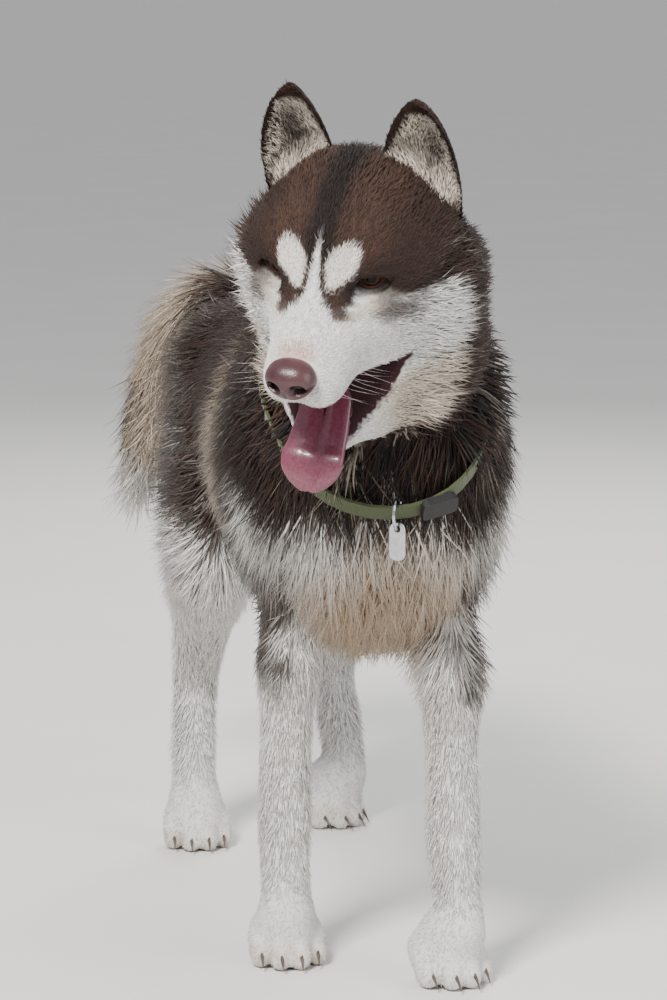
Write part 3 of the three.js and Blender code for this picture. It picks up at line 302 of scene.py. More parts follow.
def beside_eye(local, sign):
    """How far each point is from an eye's line of sight, 1 at the edge of its socket, and how far ahead."""
    ahead, aside, up = eye_axes(sign)
    offset = local - EYE * (sign, 1, 1)
    return np.hypot(offset @ aside / SOCKET[0], (offset @ up - EYE_LOOK) / SOCKET[1]), offset @ ahead


def skin_level(points):
    head, whole = fields(points)
    level = whole + coat_depth(points)
    level = np.maximum(level, 1.2 - points[:, 2])
    near = np.flatnonzero(head < 60)
    local = to_head(points[near])
    inner = np.maximum(level[near], -mouth(local))
    for sign in (-1, 1):
        wide, ahead = beside_eye(local, sign)
        inner = np.maximum(inner, -np.maximum((wide - 1) * SOCKET[1], -ahead))
    level[near] = inner
    return level


def lattice():
    """The skin's level over the whole box, worked out in full only in the blocks near the surface."""
    blocks = np.ceil((HIGH - LOW) / CELL / BLOCK).astype(int)
    grid = np.indices(blocks).reshape(3, -1).T
    rough = skin_level(LOW + (grid * BLOCK + (BLOCK - 1) / 2) * CELL)
    values = rough.reshape(blocks)
    for axis in range(3):
        values = np.repeat(values, BLOCK, axis)
    near = grid[np.abs(rough) < CELL * NEAR]
    inner = np.indices((BLOCK,) * 3).reshape(3, -1).T
    cells = (near[:, None, :] * BLOCK + inner[None]).reshape(-1, 3)
    for start in range(0, len(cells), BATCH):
        some = cells[start:start + BATCH]
        values[tuple(some.T)] = skin_level(LOW + some * CELL)
    return values


def net(values):
    """Surface nets: one point in each cell that the surface crosses, one quad over each crossed edge."""
    inside = values < 0
    shape = np.array(values.shape) - 1
    corners = [np.array([(c >> k) & 1 for k in range(3)]) for c in range(8)]
    crossed = np.zeros(shape, np.int8)
    for c in corners:
        crossed += inside[c[0]:c[0] + shape[0], c[1]:c[1] + shape[1], c[2]:c[2] + shape[2]]
    cells = np.argwhere((crossed > 0) & (crossed < 8))
    number = np.full(shape, -1, np.int32)
    number[tuple(cells.T)] = np.arange(len(cells))
    at = [values[tuple((cells + c).T)] for c in corners]
    total, count = np.zeros((len(cells), 3)), np.zeros(len(cells))
    for a in range(8):
        for k in range(3):
            b = a | (1 << k)
            if b == a:
                continue
            cut = (at[a] < 0) != (at[b] < 0)
            t = np.where(cut, at[a] / np.where(cut, at[a] - at[b], 1), 0)
            total += cut[:, None] * (corners[a] + (corners[b] - corners[a]) * t[:, None])
            count += cut
    points = LOW + (cells + total / count[:, None]) * CELL
    faces = []
    for k in range(3):
        u, v = (k + 1) % 3, (k + 2) % 3
        first = [slice(1, -1)] * 3
        first[k] = slice(0, -1)
        second = list(first)
        second[k] = slice(1, None)
        edges = np.argwhere(inside[tuple(first)] != inside[tuple(second)])
        base = edges + [0 if n == k else 1 for n in range(3)]
        starts_inside = inside[tuple(base.T)]
        ring = []
        for du, dv in ((0, 0), (-1, 0), (-1, -1), (0, -1)):
            step = np.zeros(3, int)
            step[u], step[v] = du, dv
            ring.append(number[tuple((base + step).T)])
        quads = np.stack(ring, 1)
        quads[~starts_inside] = quads[~starts_inside][:, ::-1]
        faces.append(quads)
    return points, np.vstack(faces)


def unit(vectors):
    return vectors / np.maximum(np.linalg.norm(vectors, axis=-1, keepdims=True), 1e-9)


def vertex_normals(points, faces):
    a, b, c = (points[faces[:, k]] for k in range(3))
    flat = np.cross(b - a, c - a)
    normals = np.zeros_like(points)
    for k in range(3):
        np.add.at(normals, faces[:, k], flat)
    return unit(normals)


def triangles(quads):
    return np.vstack([quads[:, [0, 1, 2]], quads[:, [0, 2, 3]]])


# Markings, the same for the skin and the coat

WHITE = np.array([0.80, 0.78, 0.75])
CREAM = np.array([0.56, 0.47, 0.37])
TAN = np.array([0.40, 0.29, 0.19])
BROWN = np.array([0.043, 0.023, 0.017])
DARK = np.array([0.013, 0.009, 0.009])
GREY = np.array([0.20, 0.18, 0.17])
LIP = np.array([0.030, 0.010, 0.013])
CHESTNUT = np.array([0.078, 0.042, 0.029])
PINK = np.array([0.60, 0.37, 0.33])
LID_EDGE = np.array([0.024, 0.012, 0.011])
LID_PINK = np.array([0.20, 0.075, 0.07])


def ripple(points, scale, seed):
    """A cheap smooth noise, about -1 to 1."""
    total = np.zeros(len(points))
    draw = np.random.default_rng(seed)
    for _ in range(6):
        wave = draw.normal(size=3) / scale
        total += np.sin(points @ wave * 2.2 + draw.uniform(0, 6.3))
    return total / 2.6


def spot(a, b, middle, half, edge=0.25):
    r = np.sqrt(((a - middle[0]) / half[0]) ** 2 + ((b - middle[1]) / half[1]) ** 2)
    return smooth(1 + edge, 1 - edge, r)


def over(color, paint, amount):
    return color + (paint - color) * np.clip(amount, 0, 1)[:, None]


def body_colour(p, tail):
    x, y, z = p.T
    wide = ripple(p, 45, 1) * 14
    streak = ripple(p * (1, 0.35, 0.6), 7, 2)
    color = np.tile(WHITE, (len(p), 1))
    # saddle over the back and down the sides
    edge = mix(372.0, 335.0, smooth(-120, 0, y))
    edge = mix(edge, 372.0, smooth(90, 200, y))
    saddle = smooth(-22, 24, z - edge + wide + 10 * streak)
    color = over(color, GREY, saddle * 0.85)
    color = over(color, BROWN, saddle * smooth(-0.9, 0.5, streak + (z - edge) / 110))
    light = spot(y, z, (-96, 430), (34, 80), 0.6) + spot(y, z, (215, 440), (46, 70), 0.6)
    color = over(color, CREAM, light * (0.65 + 0.25 * streak) * smooth(40, 80, np.abs(x)))
    thigh = smooth(110, 150, y) * smooth(70, 92, np.abs(x) + 5 * streak) * smooth(250, 320, z + wide)
    color = over(color, GREY, thigh * (0.55 + 0.4 * streak))
    toes = smooth(34, 12, z) * smooth(0.1, 0.9, ripple(p, 12, 8) * 0.5 + 0.5)
    color = over(color, CREAM, toes * 0.6)
    # tail: brown outside, cream within, white at the tip
    outside = smooth(-0.2, 0.5, ((x + 84) * -0.35 + (y - 366) * 0.9) / 42 + 0.25 * streak)
    brush = over(np.tile(CREAM, (len(p), 1)), BROWN, outside * 0.9)
    brush = over(brush, WHITE, smooth(408, 366, z + 8 * streak))
    return over(color, brush, tail)


COLLAR = np.array([0.0, -282.0, 489.0])
COLLAR_AXIS = np.array([-0.08, -0.70, 0.71])
THROAT_WAY = np.array([0.0, -0.71, -0.70])
RUFF_LENGTH, RUFF_LIFT = 42.0, 0.82  # of the tufts that cover the collar


def neck_colour(p, color):
    """Black-brown ruff above the collar, white below it in front, and a cream throat under the jaw."""
    streak = ripple(p * (1, 0.4, 0.5), 6, 5)
    above = (p - COLLAR) @ COLLAR_AXIS + 38 * smooth(38, 72, np.abs(p[:, 0] + 10))
    front = smooth(-40, 30, (p - COLLAR) @ THROAT_WAY + 8 * streak)
    color = over(color, WHITE, front * smooth(6, -14, above + 6 * streak) * smooth(-215, -250, p[:, 1]))
    ruff = smooth(-10, 8, above + 7 * streak)
    color = over(color, BROWN, ruff)
    color = over(color, DARK, ruff * smooth(-0.6, 0.5, streak))
    return over(color, mix(CREAM, GREY, 0.4), ruff * smooth(0.7, 1.4, streak) * 0.55)


def head_colour(local):
    x, y, z = local.T
    ax = np.abs(x)
    fuzz = ripple(local, 5, 3)
    fine = ripple(local * (1, 0.5, 1), 2.5, 4)
    color = np.tile(WHITE, (len(local), 1))
    color = over(color, CREAM, smooth(-62, -88, z) * smooth(-108, -78, y) * 0.85)
    # the cap's edge runs level over the eyes and falls behind the cheeks, where the ruff takes over
    edge = np.interp(ax, [0, 10, 26, 50, 62, 74, 88, 96], [10, 6, 3, 5, -2, -13, -36, -60])
    ruff_edge = np.interp(z, [-135, -121, -85, -59, -27, 0], [-73, -52, -36, -20, -22, -30])
    cap = smooth(-3, 3, z - edge + 1.6 * fuzz)
    behind = np.maximum(smooth(-7, 7, y - ruff_edge + 4 * fuzz), smooth(-126, -136, z + 3 * fuzz))
    dark = np.maximum(cap, behind)
    color = over(color, BROWN, dark)
    color = over(color, CHESTNUT, dark * spot(ax, z, (32, 50), (18, 20), 0.8) * 0.8)
    color = over(color, DARK, dark * smooth(0.2, 1.3, fine) * 0.6)
    color = over(color, DARK, spot(ax, z, (2, 46), (8, 40), 0.5) * cap * 0.85)
    color = over(color, DARK, spot(ax, z, (40, 12), (27, 13), 0.7) * cap * (0.62 + 0.2 * fuzz))
    color = over(color, mix(CREAM, GREY, 0.3), behind * smooth(0.6, 1.3, fine) * smooth(20, -20, z) * 0.5)
    # wedge from the inner corner of each eye beside the bridge, and the patch under the outer corner
    wedge = smooth(6.5, 3.5, np.abs(ax - 12 - 0.55 * (20 - z))) * smooth(-9, -4, z) * smooth(27, 22, z)
    color = over(color, BROWN, wedge * smooth(-110, -98, y) * 0.95)
    under = spot(ax + 0.55 * (z + 8) + 3 * fuzz, z + 2 * fine, (54, -6), (10, 17), 0.6)
    color = over(color, mix(BROWN, GREY, 0.2), under * 0.85)
    color = over(color, CREAM, spot(ax, z, (38, -4), (11, 4), 0.5) * 0.6)
    # two pale spots over the eyes, and the blaze that narrows to a line between them
    lean = ax - 0.28 * (z - 27)
    spots = np.maximum(spot(lean, z, (20, 28), (12.5, 10.5), 0.14), spot(lean, z, (18, 20), (7, 7), 0.2))
    color = over(color, mix(WHITE, CREAM, 0.28), spots)
    half = np.interp(z, [-6, 3, 14, 30, 44], [30, 12, 5, 2.2, 0.6])
    blaze = smooth(1.2, -1.2, ax - half + 0.6 * fuzz) * smooth(-24, -36, y) * smooth(46, 34, z)
    color = over(color, WHITE, blaze)
    pink = spot(ax, z, (0, -10), (15, 7), 0.4) * smooth(-122, -132, y)
    return over(color, PINK, pink * 0.75)


def front_details(p, color):
    """Tan bib between the forelegs, and dark stripes down the outside of the shoulders."""
    x, y, z = p.T
    streak = ripple(p * (1, 0.35, 0.6), 7, 2)
    bib = spot(x, z, (2, 350), (66, 68), 0.4) * smooth(-225, -250, y)
    color = over(color, TAN, bib * (0.90 + 0.10 * streak))
    stripe = smooth(-120, -180, y) * smooth(55, 72, np.abs(x) + 5 * streak)
    stripe *= smooth(240, 275, z + 8 * streak) * smooth(430, 375, z + 12 * streak)
    return over(color, mix(BROWN, GREY, 0.3), stripe * (0.85 + 0.25 * streak))


def markings(p):
    head, _ = fields(p)
    on_head, tail, _, _, local = zones(p)
    color = front_details(p, neck_colour(p, body_colour(p, tail)))
    color = over(color, head_colour(local), smooth(0.3, 0.7, on_head))
    lips = smooth(8.5, 6.0, mouth(local)) * (head < 40) * smooth(-56, -66, local[:, 1])
    return over(color, LIP, lips * smooth(UPPER_LIP + 4, UPPER_LIP + 1, local[:, 2]))


# Materials

def material(name, roughness, build, **sockets):
    made = bpy.data.materials.new(name)
    made.use_nodes = True
    tree = made.node_tree
    shader = tree.nodes["Principled BSDF"]
    shader.inputs["Roughness"].default_value = roughness
    for socket, value in sockets.items():
        shader.inputs[socket.replace("_", " ")].default_value = value
    build(tree, shader)
    return made


def texture_node(tree, kind, **sockets):
    """A texture laid out by the piece's own coordinates."""
    made = tree.nodes.new(kind)
    for socket, value in sockets.items():
        made.inputs[socket].default_value = value
    tree.links.new(tree.nodes.new("ShaderNodeTexCoord").outputs["Object"], made.inputs["Vector"])
    return made


def noise(tree, scale):
    return texture_node(tree, "ShaderNodeTexNoise", Scale=scale, Detail=4.0).outputs["Fac"]


def ramp(tree, source, stops):
    made = tree.nodes.new("ShaderNodeValToRGB")
    while len(made.color_ramp.elements) < len(stops):
        made.color_ramp.elements.new(0.5)
    for element, (at, color) in zip(made.color_ramp.elements, stops):
        element.position = at
        element.color = (*color, 1)
    tree.links.new(source, made.inputs["Fac"])
    return made.outputs["Color"]


def bump(tree, shader, source, strength, distance):
    made = tree.nodes.new("ShaderNodeBump")
    made.inputs["Strength"].default_value = strength
    made.inputs["Distance"].default_value = distance
    tree.links.new(source, made.inputs["Height"])
    tree.links.new(made.outputs["Normal"], shader.inputs["Normal"])


def painted(tree, shader, shade):
    """The colours held by the mesh, times a shade."""
    paint = tree.nodes.new("ShaderNodeVertexColor")
    paint.layer_name = "coat"
    blend = tree.nodes.new("ShaderNodeMix")
    blend.data_type = "RGBA"
    blend.blend_type = "MULTIPLY"
    blend.inputs["Factor"].default_value = 1
    tree.links.new(paint.outputs["Color"], blend.inputs["A"])
    tree.links.new(shade, blend.inputs["B"])
    tree.links.new(blend.outputs["Result"], shader.inputs["Base Color"])


def fur_nodes(scale, strength):
    def build(tree, shader):
        grain = noise(tree, scale)
        stops = [(0.25, (0.72, 0.72, 0.72)), (0.75, (1.15, 1.15, 1.15))]
        painted(tree, shader, ramp(tree, grain, stops))
        bump(tree, shader, grain, strength, 0.001)
    return build


def mottled_nodes(dark, light, scale, strength):
    def build(tree, shader):
        grain = noise(tree, scale)
        tree.links.new(ramp(tree, grain, [(0.3, dark), (0.7, light)]), shader.inputs["Base Color"])
        bump(tree, shader, grain, strength, 0.0004)
    return build


def pebble_nodes(tree, shader):
    cells = texture_node(tree, "ShaderNodeTexVoronoi", Scale=900)
    stops = [(0.3, (0.034, 0.012, 0.014)), (0.7, (0.070, 0.025, 0.028))]
    painted(tree, shader, ramp(tree, noise(tree, 60), stops))
    bump(tree, shader, cells.outputs["Distance"], 0.35, 0.0004)


def eye_nodes(sign):
    """Pupil and brown iris about the axis that the eye looks along."""
    def build(tree, shader):
        centre = placed(in_head(EYE * (sign, 1, 1)))
        axis = Vector(HEAD_AXES @ np.array([sign * 0.20, -0.86, 0.46])).normalized()
        source = tree.nodes.new("ShaderNodeTexCoord").outputs["Object"]
        for operation, value, result in (("SUBTRACT", centre, "Vector"), ("NORMALIZE", None, "Vector"),
                                         ("DOT_PRODUCT", axis, "Value")):
            step = tree.nodes.new("ShaderNodeVectorMath")
            step.operation = operation
            if value is not None:
                step.inputs[1].default_value = value
            tree.links.new(source, step.inputs[0])
            source = step.outputs[result]
        stops = [(0.0, (0.16, 0.12, 0.11)), (0.74, (0.07, 0.04, 0.035)), (0.78, (0.012, 0.006, 0.004)),
                 (0.90, (0.055, 0.024, 0.010)), (0.935, (0.001, 0.001, 0.001))]
        tree.links.new(ramp(tree, source, stops), shader.inputs["Base Color"])
    return build


def weave_nodes(tree, shader):
    wave = texture_node(tree, "ShaderNodeTexWave", Scale=260, Distortion=1.5)
    stops = [(0.2, (0.018, 0.028, 0.005)), (0.8, (0.048, 0.066, 0.009))]
    tree.links.new(ramp(tree, wave.outputs["Fac"], stops), shader.inputs["Base Color"])
    bump(tree, shader, wave.outputs["Fac"], 0.5, 0.0005)


FUR = material("fur", 0.62, fur_nodes(420, 0.2), Sheen_Weight=0.03, Specular_IOR_Level=0.15)
HIDE = material("hide", 0.8, fur_nodes(700, 0.6), Specular_IOR_Level=0.15)
NOSE = material("nose leather", 0.33, pebble_nodes)
TONGUE = material("tongue flesh", 0.32, mottled_nodes((0.095, 0.019, 0.038), (0.17, 0.040, 0.066), 500, 0.3),
                  Coat_Weight=0.35)
LIPS = material("lips", 0.35, mottled_nodes((0.022, 0.010, 0.012), (0.075, 0.028, 0.032), 300, 0.25))
HORN = material("horn", 0.42, mottled_nodes((0.035, 0.024, 0.018), (0.12, 0.09, 0.07), 350, 0.2))
WEBBING = material("webbing", 0.75, weave_nodes, Sheen_Weight=0.2)
PLASTIC = material("black plastic", 0.5, mottled_nodes((0.008, 0.008, 0.009), (0.02, 0.02, 0.022), 900, 0.1),
                   Specular_IOR_Level=0.25)
STEEL = material("polished steel", 0.18, mottled_nodes((0.42, 0.43, 0.45), (0.56, 0.57, 0.59), 200, 0.05),
                 Metallic=1.0)
WHISKER = material("whisker", 0.4, mottled_nodes((0.7, 0.68, 0.66), (0.85, 0.83, 0.8), 100, 0.0))


# Meshes

def add_object(name, data):
    made = bpy.data.objects.new(name, data)
    bpy.context.scene.collection.objects.link(made)
    return made


def mesh_piece(name, points, faces, mat, colors=None, uv=None):
    """A piece from arrays: points in the animal's millimetres, faces of three or four corners each."""
    mesh = bpy.data.meshes.new(name)
    points = placed(points).astype(np.float32)
    faces = np.asarray(faces, np.int32)
    sides = faces.shape[1]
    mesh.vertices.add(len(points))
    mesh.vertices.foreach_set("co", points.ravel())
    mesh.loops.add(faces.size)
    mesh.loops.foreach_set("vertex_index", faces.ravel())
    mesh.polygons.add(len(faces))
    mesh.polygons.foreach_set("loop_start", np.arange(0, faces.size, sides, dtype=np.int32))
    mesh.polygons.foreach_set("loop_total", np.full(len(faces), sides, np.int32))
    mesh.update(calc_edges=True)
    mesh.polygons.foreach_set("use_smooth", np.ones(len(faces), bool))
    if colors is not None:
        layer = mesh.color_attributes.new("coat", "FLOAT_COLOR", "POINT")
        rgba = np.ones((len(points), 4), np.float32)
        rgba[:, :3] = np.clip(colors, 0, 1)
        layer.data.foreach_set("color", rgba.ravel())
    if uv is not None:
        layer = mesh.uv_layers.new(name="OFBake")
        layer.data.foreach_set("uv", uv[faces.ravel()].astype(np.float32).ravel())
    mesh.materials.append(mat)
    piece = add_object(name, mesh)
    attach(piece, "root")
    return piece


def loft(rings, close_start=True, close_end=True):
    """Quads over rings of one length, with its ends closed by fans about their middles."""
    rings = np.asarray(rings, float)
    count, around = rings.shape[:2]
    points = rings.reshape(-1, 3)
    k = np.arange(around)
    faces = []
    for i in range(count - 1):
        a, b = i * around, (i + 1) * around
        faces.append(triangles(np.stack([a + k, a + (k + 1) % around, b + (k + 1) % around, b + k], 1)))
    for close, ring, flip in ((close_start, 0, True), (close_end, count - 1, False)):
        if close:
            centre = len(points)
            points = np.vstack([points, rings[ring].mean(0)])
            a = ring * around + k
            b = ring * around + (k + 1) % around
            rim = [b, a] if flip else [a, b]
            faces.append(np.stack(rim + [np.full(around, centre)], 1))
    return points, np.vstack(faces)


def outward(points, faces):
    a, b, c = (points[faces[:, k]] for k in range(3))
    volume = (np.cross(a, b) * c).sum()
    return faces if volume > 0 else faces[:, ::-1]


# Unwrap of the skin by the bones it lies on: along each bone one way, round it the other
BONES = [
    ((0, 200, 450), (0, -230, 430)), ((0, -222, 470), (-34, -362, 602)),
    ((-41, -340, 650), (-80, -420, 585)), ((-80, -420, 585), (-110, -466, 530)),
    ((-36, 312, 526), (-117, 388, 322)), ((0, -330, 420), (0, -250, 330)),
] + [((side * 60, y0, 430), (x, y + 40, 0)) for side, y0, x, y in (
    (-1, -222, -64, -213), (1, -222, 68, -297), (-1, 190, -80, 235), (1, 190, 82, 320))]


def unwrap(points):
    best, uv = np.full(len(points), 1e9), np.zeros((len(points), 2))
    for n, (a, b) in enumerate(BONES):
        a, b = np.array(a, float), np.array(b, float)
        u = b - a
        t = np.clip((points - a) @ u / (u @ u), 0, 1)
        off = points - a - u * t[:, None]
        reach = np.linalg.norm(off, axis=1)
        side = unit(np.cross(u, (0.3, 1, 0.2) if abs(u[1]) < abs(u[2]) else (0.3, 0.2, 1)))
        up = np.cross(u, side) / np.linalg.norm(u)
        angle = np.arctan2(off @ side, off @ up) / (2 * math.pi) + 0.5
        closer = reach < best
        best = np.where(closer, reach, best)
        column, row = n % 4, n // 4
        place = np.stack([(column + 0.03 + 0.94 * angle) / 4, (row + 0.03 + 0.94 * t) / 3], 1)
        uv[closer] = place[closer]
    return uv


WIDEST, LOWEST = 145.0, 0.5  # how far to each side and down a tuft may reach
MOST_TRIANGLES = 196000  # in one piece


def tufts(name, roots, normals, lie, length, lift, width, colors, rings=2, mat=FUR):
    """Tapered three-sided locks, bent over along the lie, with sizes for all or for each."""
    count = len(roots)
    if not count:
        return
    along = unit(lie - normals * (lie * normals).sum(1)[:, None])
    side = np.cross(normals, along)
    yaw = rng.normal(0, 0.22, count)[:, None]
    along, side = along * np.cos(yaw) + side * np.sin(yaw), side * np.cos(yaw) - along * np.sin(yaw)
    length = length * rng.uniform(0.72, 1.18, count)
    lift = lift * rng.uniform(0.5, 1.12, count)
    sway = rng.normal(0, 0.10, count)
    levels = np.linspace(0, 1, rings + 1)
    points = np.zeros((count, rings * 3 + 1, 3))
    shade = np.zeros((count, rings * 3 + 1))
    for n, t in enumerate(levels):
        height = length * (np.sin(lift) * (t - 0.28 * t * t) * 1.25) - 1.2 * (n == 0)
        forward = length * np.cos(lift) * t
        middle = (roots + along * forward[:, None] + normals * height[:, None]
                  + side * (sway * length * t * t)[:, None])
        if n == rings:
            points[:, -1] = middle
            shade[:, -1] = t
            continue
        half = np.full(count, width * (1 - 0.55 * t))
        points[:, n * 3] = middle + side * half[:, None]
        points[:, n * 3 + 1] = middle - side * half[:, None]
        points[:, n * 3 + 2] = middle + normals * (0.55 * half)[:, None]
        shade[:, n * 3:n * 3 + 3] = t
    points[:, :, 0] = np.clip(points[:, :, 0] + SHIFT[0], -WIDEST, WIDEST) - SHIFT[0]
    points[:, :, 2] = np.maximum(points[:, :, 2], LOWEST)
    pattern = [(0, 1, 2)]
    for n in range(rings - 1):
        a, b = n * 3, n * 3 + 3
        for k in range(3):
            m = (k + 1) % 3
            pattern += [(a + k, b + k, b + m), (a + k, b + m, a + m)]
    last, tip = (rings - 1) * 3, rings * 3
    pattern += [(last + k, tip, last + (k + 1) % 3) for k in range(3)]
    pattern = np.array(pattern)
    # painted shade: each tuft darker at its root, deep in the coat, and a little lighter towards its tip, times
    # a random tone for each tuft
    tone_and_root_shade = rng.normal(1.0, 0.10, count)[:, None, None] * (0.80 + 0.28 * shade)[:, :, None]
    paint = colors[:, None, :] * tone_and_root_shade
    patch = unwrap(roots)[:, None, :] + rng.uniform(0, 0.0015, (count, rings * 3 + 1, 2))
    most = MOST_TRIANGLES // len(pattern)
    for start in range(0, count, most):
        some = slice(start, min(start + most, count))
        firsts = np.arange(len(points[some])) * (rings * 3 + 1)
        faces = (pattern[None] + firsts[:, None, None]).reshape(-1, 3)
        mesh_piece(f"{name}_{start // most + 1}", points[some].reshape(-1, 3), faces, mat,
                   paint[some].reshape(-1, 3), patch[some].reshape(-1, 2))


def scatter(points, faces, normals, density):
    """Roots spread over a surface, density being tufts for each square millimetre at each face's middle."""
    a, b, c = (points[faces[:, k]] for k in range(3))
    area = np.linalg.norm(np.cross(b - a, c - a), axis=1) / 2
    expected = area * density((a + b + c) / 3)
    number = rng.poisson(expected * (1.0))
    face = np.repeat(np.arange(len(faces)), number)
    u, v = rng.uniform(size=(2, len(face)))
    flip = u + v > 1
    u[flip], v[flip] = 1 - u[flip], 1 - v[flip]
    weights = (1 - u - v, u, v)
    roots = sum(w[:, None] * points[faces[face, k]] for k, w in enumerate(weights))
    n = sum(w[:, None] * normals[faces[face, k]] for k, w in enumerate(weights))
    return roots, unit(n)


# The skin
FLESH = [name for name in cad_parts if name.split("_")[0] in (
    "head", "lower", "neck", "torso", "shoulder", "foreleg", "forepaw", "thigh", "shank", "hind", "tail")]
skin_points, skin_quads = net(lattice())
skin_faces = triangles(skin_quads)
skin_normals = vertex_normals(skin_points, skin_faces)
# the skin takes the markings darkened to 0.8: painted shade under the coat, as at the tufts' roots
skin = mesh_piece("skin", skin_points, skin_faces, HIDE, markings(skin_points) * 0.8)
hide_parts(*FLESH)


# The coat: its tufts for each square millimetre, and the angle at which they rise from the skin
DENSITY = {"body": 0.146, "head": 0.25, "face": 0.58, "legs": 0.145, "tail": 0.20, "ears": 0.42}
RISE = {"body": 20.0, "head": 27.0, "face": 13.0, "legs": 17.0, "fan": 48.0}


def lie_of(points, on_head, tail, legs, local):
    side = np.sign(points[:, 0])[:, None]
    y, z = points[:, 1:2], points[:, 2:3]
    flat = np.array([0.0, 0.86, -0.46]) + side * np.array([0.10, 0, 0])
    chest = np.array([0.0, 0.10, -1.0])
    neck = np.array([0.04, 0.62, -0.78])
    lie = mix(flat, neck, smooth(-150, -250, y))
    lie = mix(lie, chest, smooth(-285, -325, y) * smooth(520, 470, z))
    rump = np.array([0.0, 0.55, -0.85])
    lie = mix(lie, rump, smooth(150, 230, y))
    lie = mix(lie, np.array([0.0, 0.22, -1.0]), legs[:, None])
    lie = mix(lie, np.array([-0.30, 0.30, -0.90]), tail[:, None])
    cheek = smooth(22, 50, np.abs(local[:, 0:1])) * smooth(20, -10, local[:, 2:3])
    spread = np.sign(local[:, 0:1]) * np.array([0.55, 0, 0])
    face = np.array([0.0, 1.0, 0.10]) + spread * (0.25 + 0.75 * cheek) + cheek * np.array([0, 0, -0.62])
    return mix(lie, face @ HEAD_AXES.T, on_head[:, None])


def clear_of_face_parts(local):
    """Roots that are not on an eye, the nose, the lips or inside the mouth."""
    keep = (mouth(local) > 6.5) | ((local[:, 2] > UPPER_LIP + 1.5) & (mouth(local) > 1))
    for sign in (-1, 1):
        wide, ahead = beside_eye(local, sign)
        keep &= (wide > 0.98) | (ahead < 0)
    nose = np.linalg.norm((local - NOSE_MIDDLE) / (21, 17, 17), axis=1)
    return keep & (nose > 1)


def density_of(points):
    on_head, tail, legs, face, _ = zones(points)
    made = np.full(len(points), DENSITY["body"])
    for part, share in (("head", on_head), ("face", face), ("legs", legs), ("tail", tail)):
        made = mix(made, DENSITY[part], share)
    return made


def grow_coat():
    roots, normals = scatter(skin_points, skin_faces, skin_normals, density_of)
    keep = clear_of_face_parts(to_head(roots)) & (roots[:, 2] > 5)
    roots, normals = roots[keep], normals[keep]
    on_head, tail, legs, face, local = zones(roots)
    depth = coat_depth(roots)
    lie = lie_of(roots, on_head, tail, legs, local)
    colors = markings(roots)
    lift = np.radians(mix(RISE["body"], RISE["head"], on_head))
    lift = mix(lift, math.radians(RISE["face"]), face)
    lift = mix(lift, math.radians(RISE["legs"]), legs)
    reach = depth + 2.6 * legs * smooth(55, 110, roots[:, 2])
    length = np.maximum(reach / (0.9 * np.sin(lift)), 4.2)
    length = mix(length, mix(5.2, 7.5, smooth(20, 45, local[:, 2])), face)
    # the fan of the right cheek stands out past the face
    x, y, z = local.T
    fan = on_head * smooth(-48, -64, x) * smooth(14, 0, z) * smooth(-88, -72, z) * smooth(-90, -74, y)
    length = length + 13 * fan
    lift = mix(lift, math.radians(RISE["fan"]), fan)
    # flatter on the neck, the points of the shoulders and the tail, which keeps their outline
    x, y, z = roots.T
    low_shoulder = smooth(410, 340, z) * smooth(-110, -160, y) * smooth(40, 60, np.abs(x))
    neck = smooth(-180, -240, y) * smooth(400, 450, z) * (1 - on_head)
    lift = lift * (1 - 0.45 * low_shoulder * (1 - on_head)) * (1 - 0.25 * neck) * (1 - 0.30 * tail)
    length = length * (1 - 0.38 * low_shoulder * smooth(370, 320, z) * (1 - legs))
    for sign in (-1, 1):
        wide, ahead = beside_eye(local, sign)
        length = np.where(ahead > 0, np.minimum(length, 1.6 + 6 * np.maximum(wide - 0.95, 0)), length)
    length = np.minimum(length, 1.8 + 0.9 * np.maximum(mouth(local), 0))
    width = np.interp(length, [5, 12, 25, 45], [0.40, 0.58, 0.85, 1.0])
    tufts("coat", roots, normals, lie, length, lift, width, colors)
    # over the collar's sides and back, where the ruff hides it
    above = (roots - COLLAR) @ COLLAR_AXIS
    around = (roots - COLLAR) @ THROAT_WAY / np.linalg.norm(roots - COLLAR, axis=1)
    cover = (above > 6) & (above < 32) & (roots[:, 1] < -150)
    cover &= around < np.where(roots[:, 0] < 0, 0.84, 0.72)
    lie = np.tile(-COLLAR_AXIS, (cover.sum(), 1))
    tufts("ruff", roots[cover], normals[cover], lie, RUFF_LENGTH, RUFF_LIFT, width[cover] * 1.2,
          colors[cover], rings=3)


grow_coat()


# Ears
EAR_INNER = [(19, 26, 44), (28, 34, 92), (52, 37, 109)]
EAR_OUTER = [(80, 22, -2), (92, 30, 74), (52, 37, 109)]


def curve_at(controls, t):
    a, b, c = (np.array(p, float) for p in controls)
    return a * (1 - t) ** 2 + b * 2 * t * (1 - t) + c * t * t


def ear_rim(local, low, high):
    """1 at the dark tip and edges of the ear, by the height of each point and its share of the way across."""
    t = np.clip((local[:, 2] - 20) / 89, 0, 1)[:, None]
    a, b = curve_at(EAR_INNER, t), curve_at(EAR_OUTER, t)
    across = b - a
    share = np.clip(((local - a) * across).sum(1) / np.maximum((across ** 2).sum(1), 1), 0, 1)
    return np.maximum(smooth(low, high, np.abs(share - 0.5) * 2), smooth(80, 93, local[:, 2]))


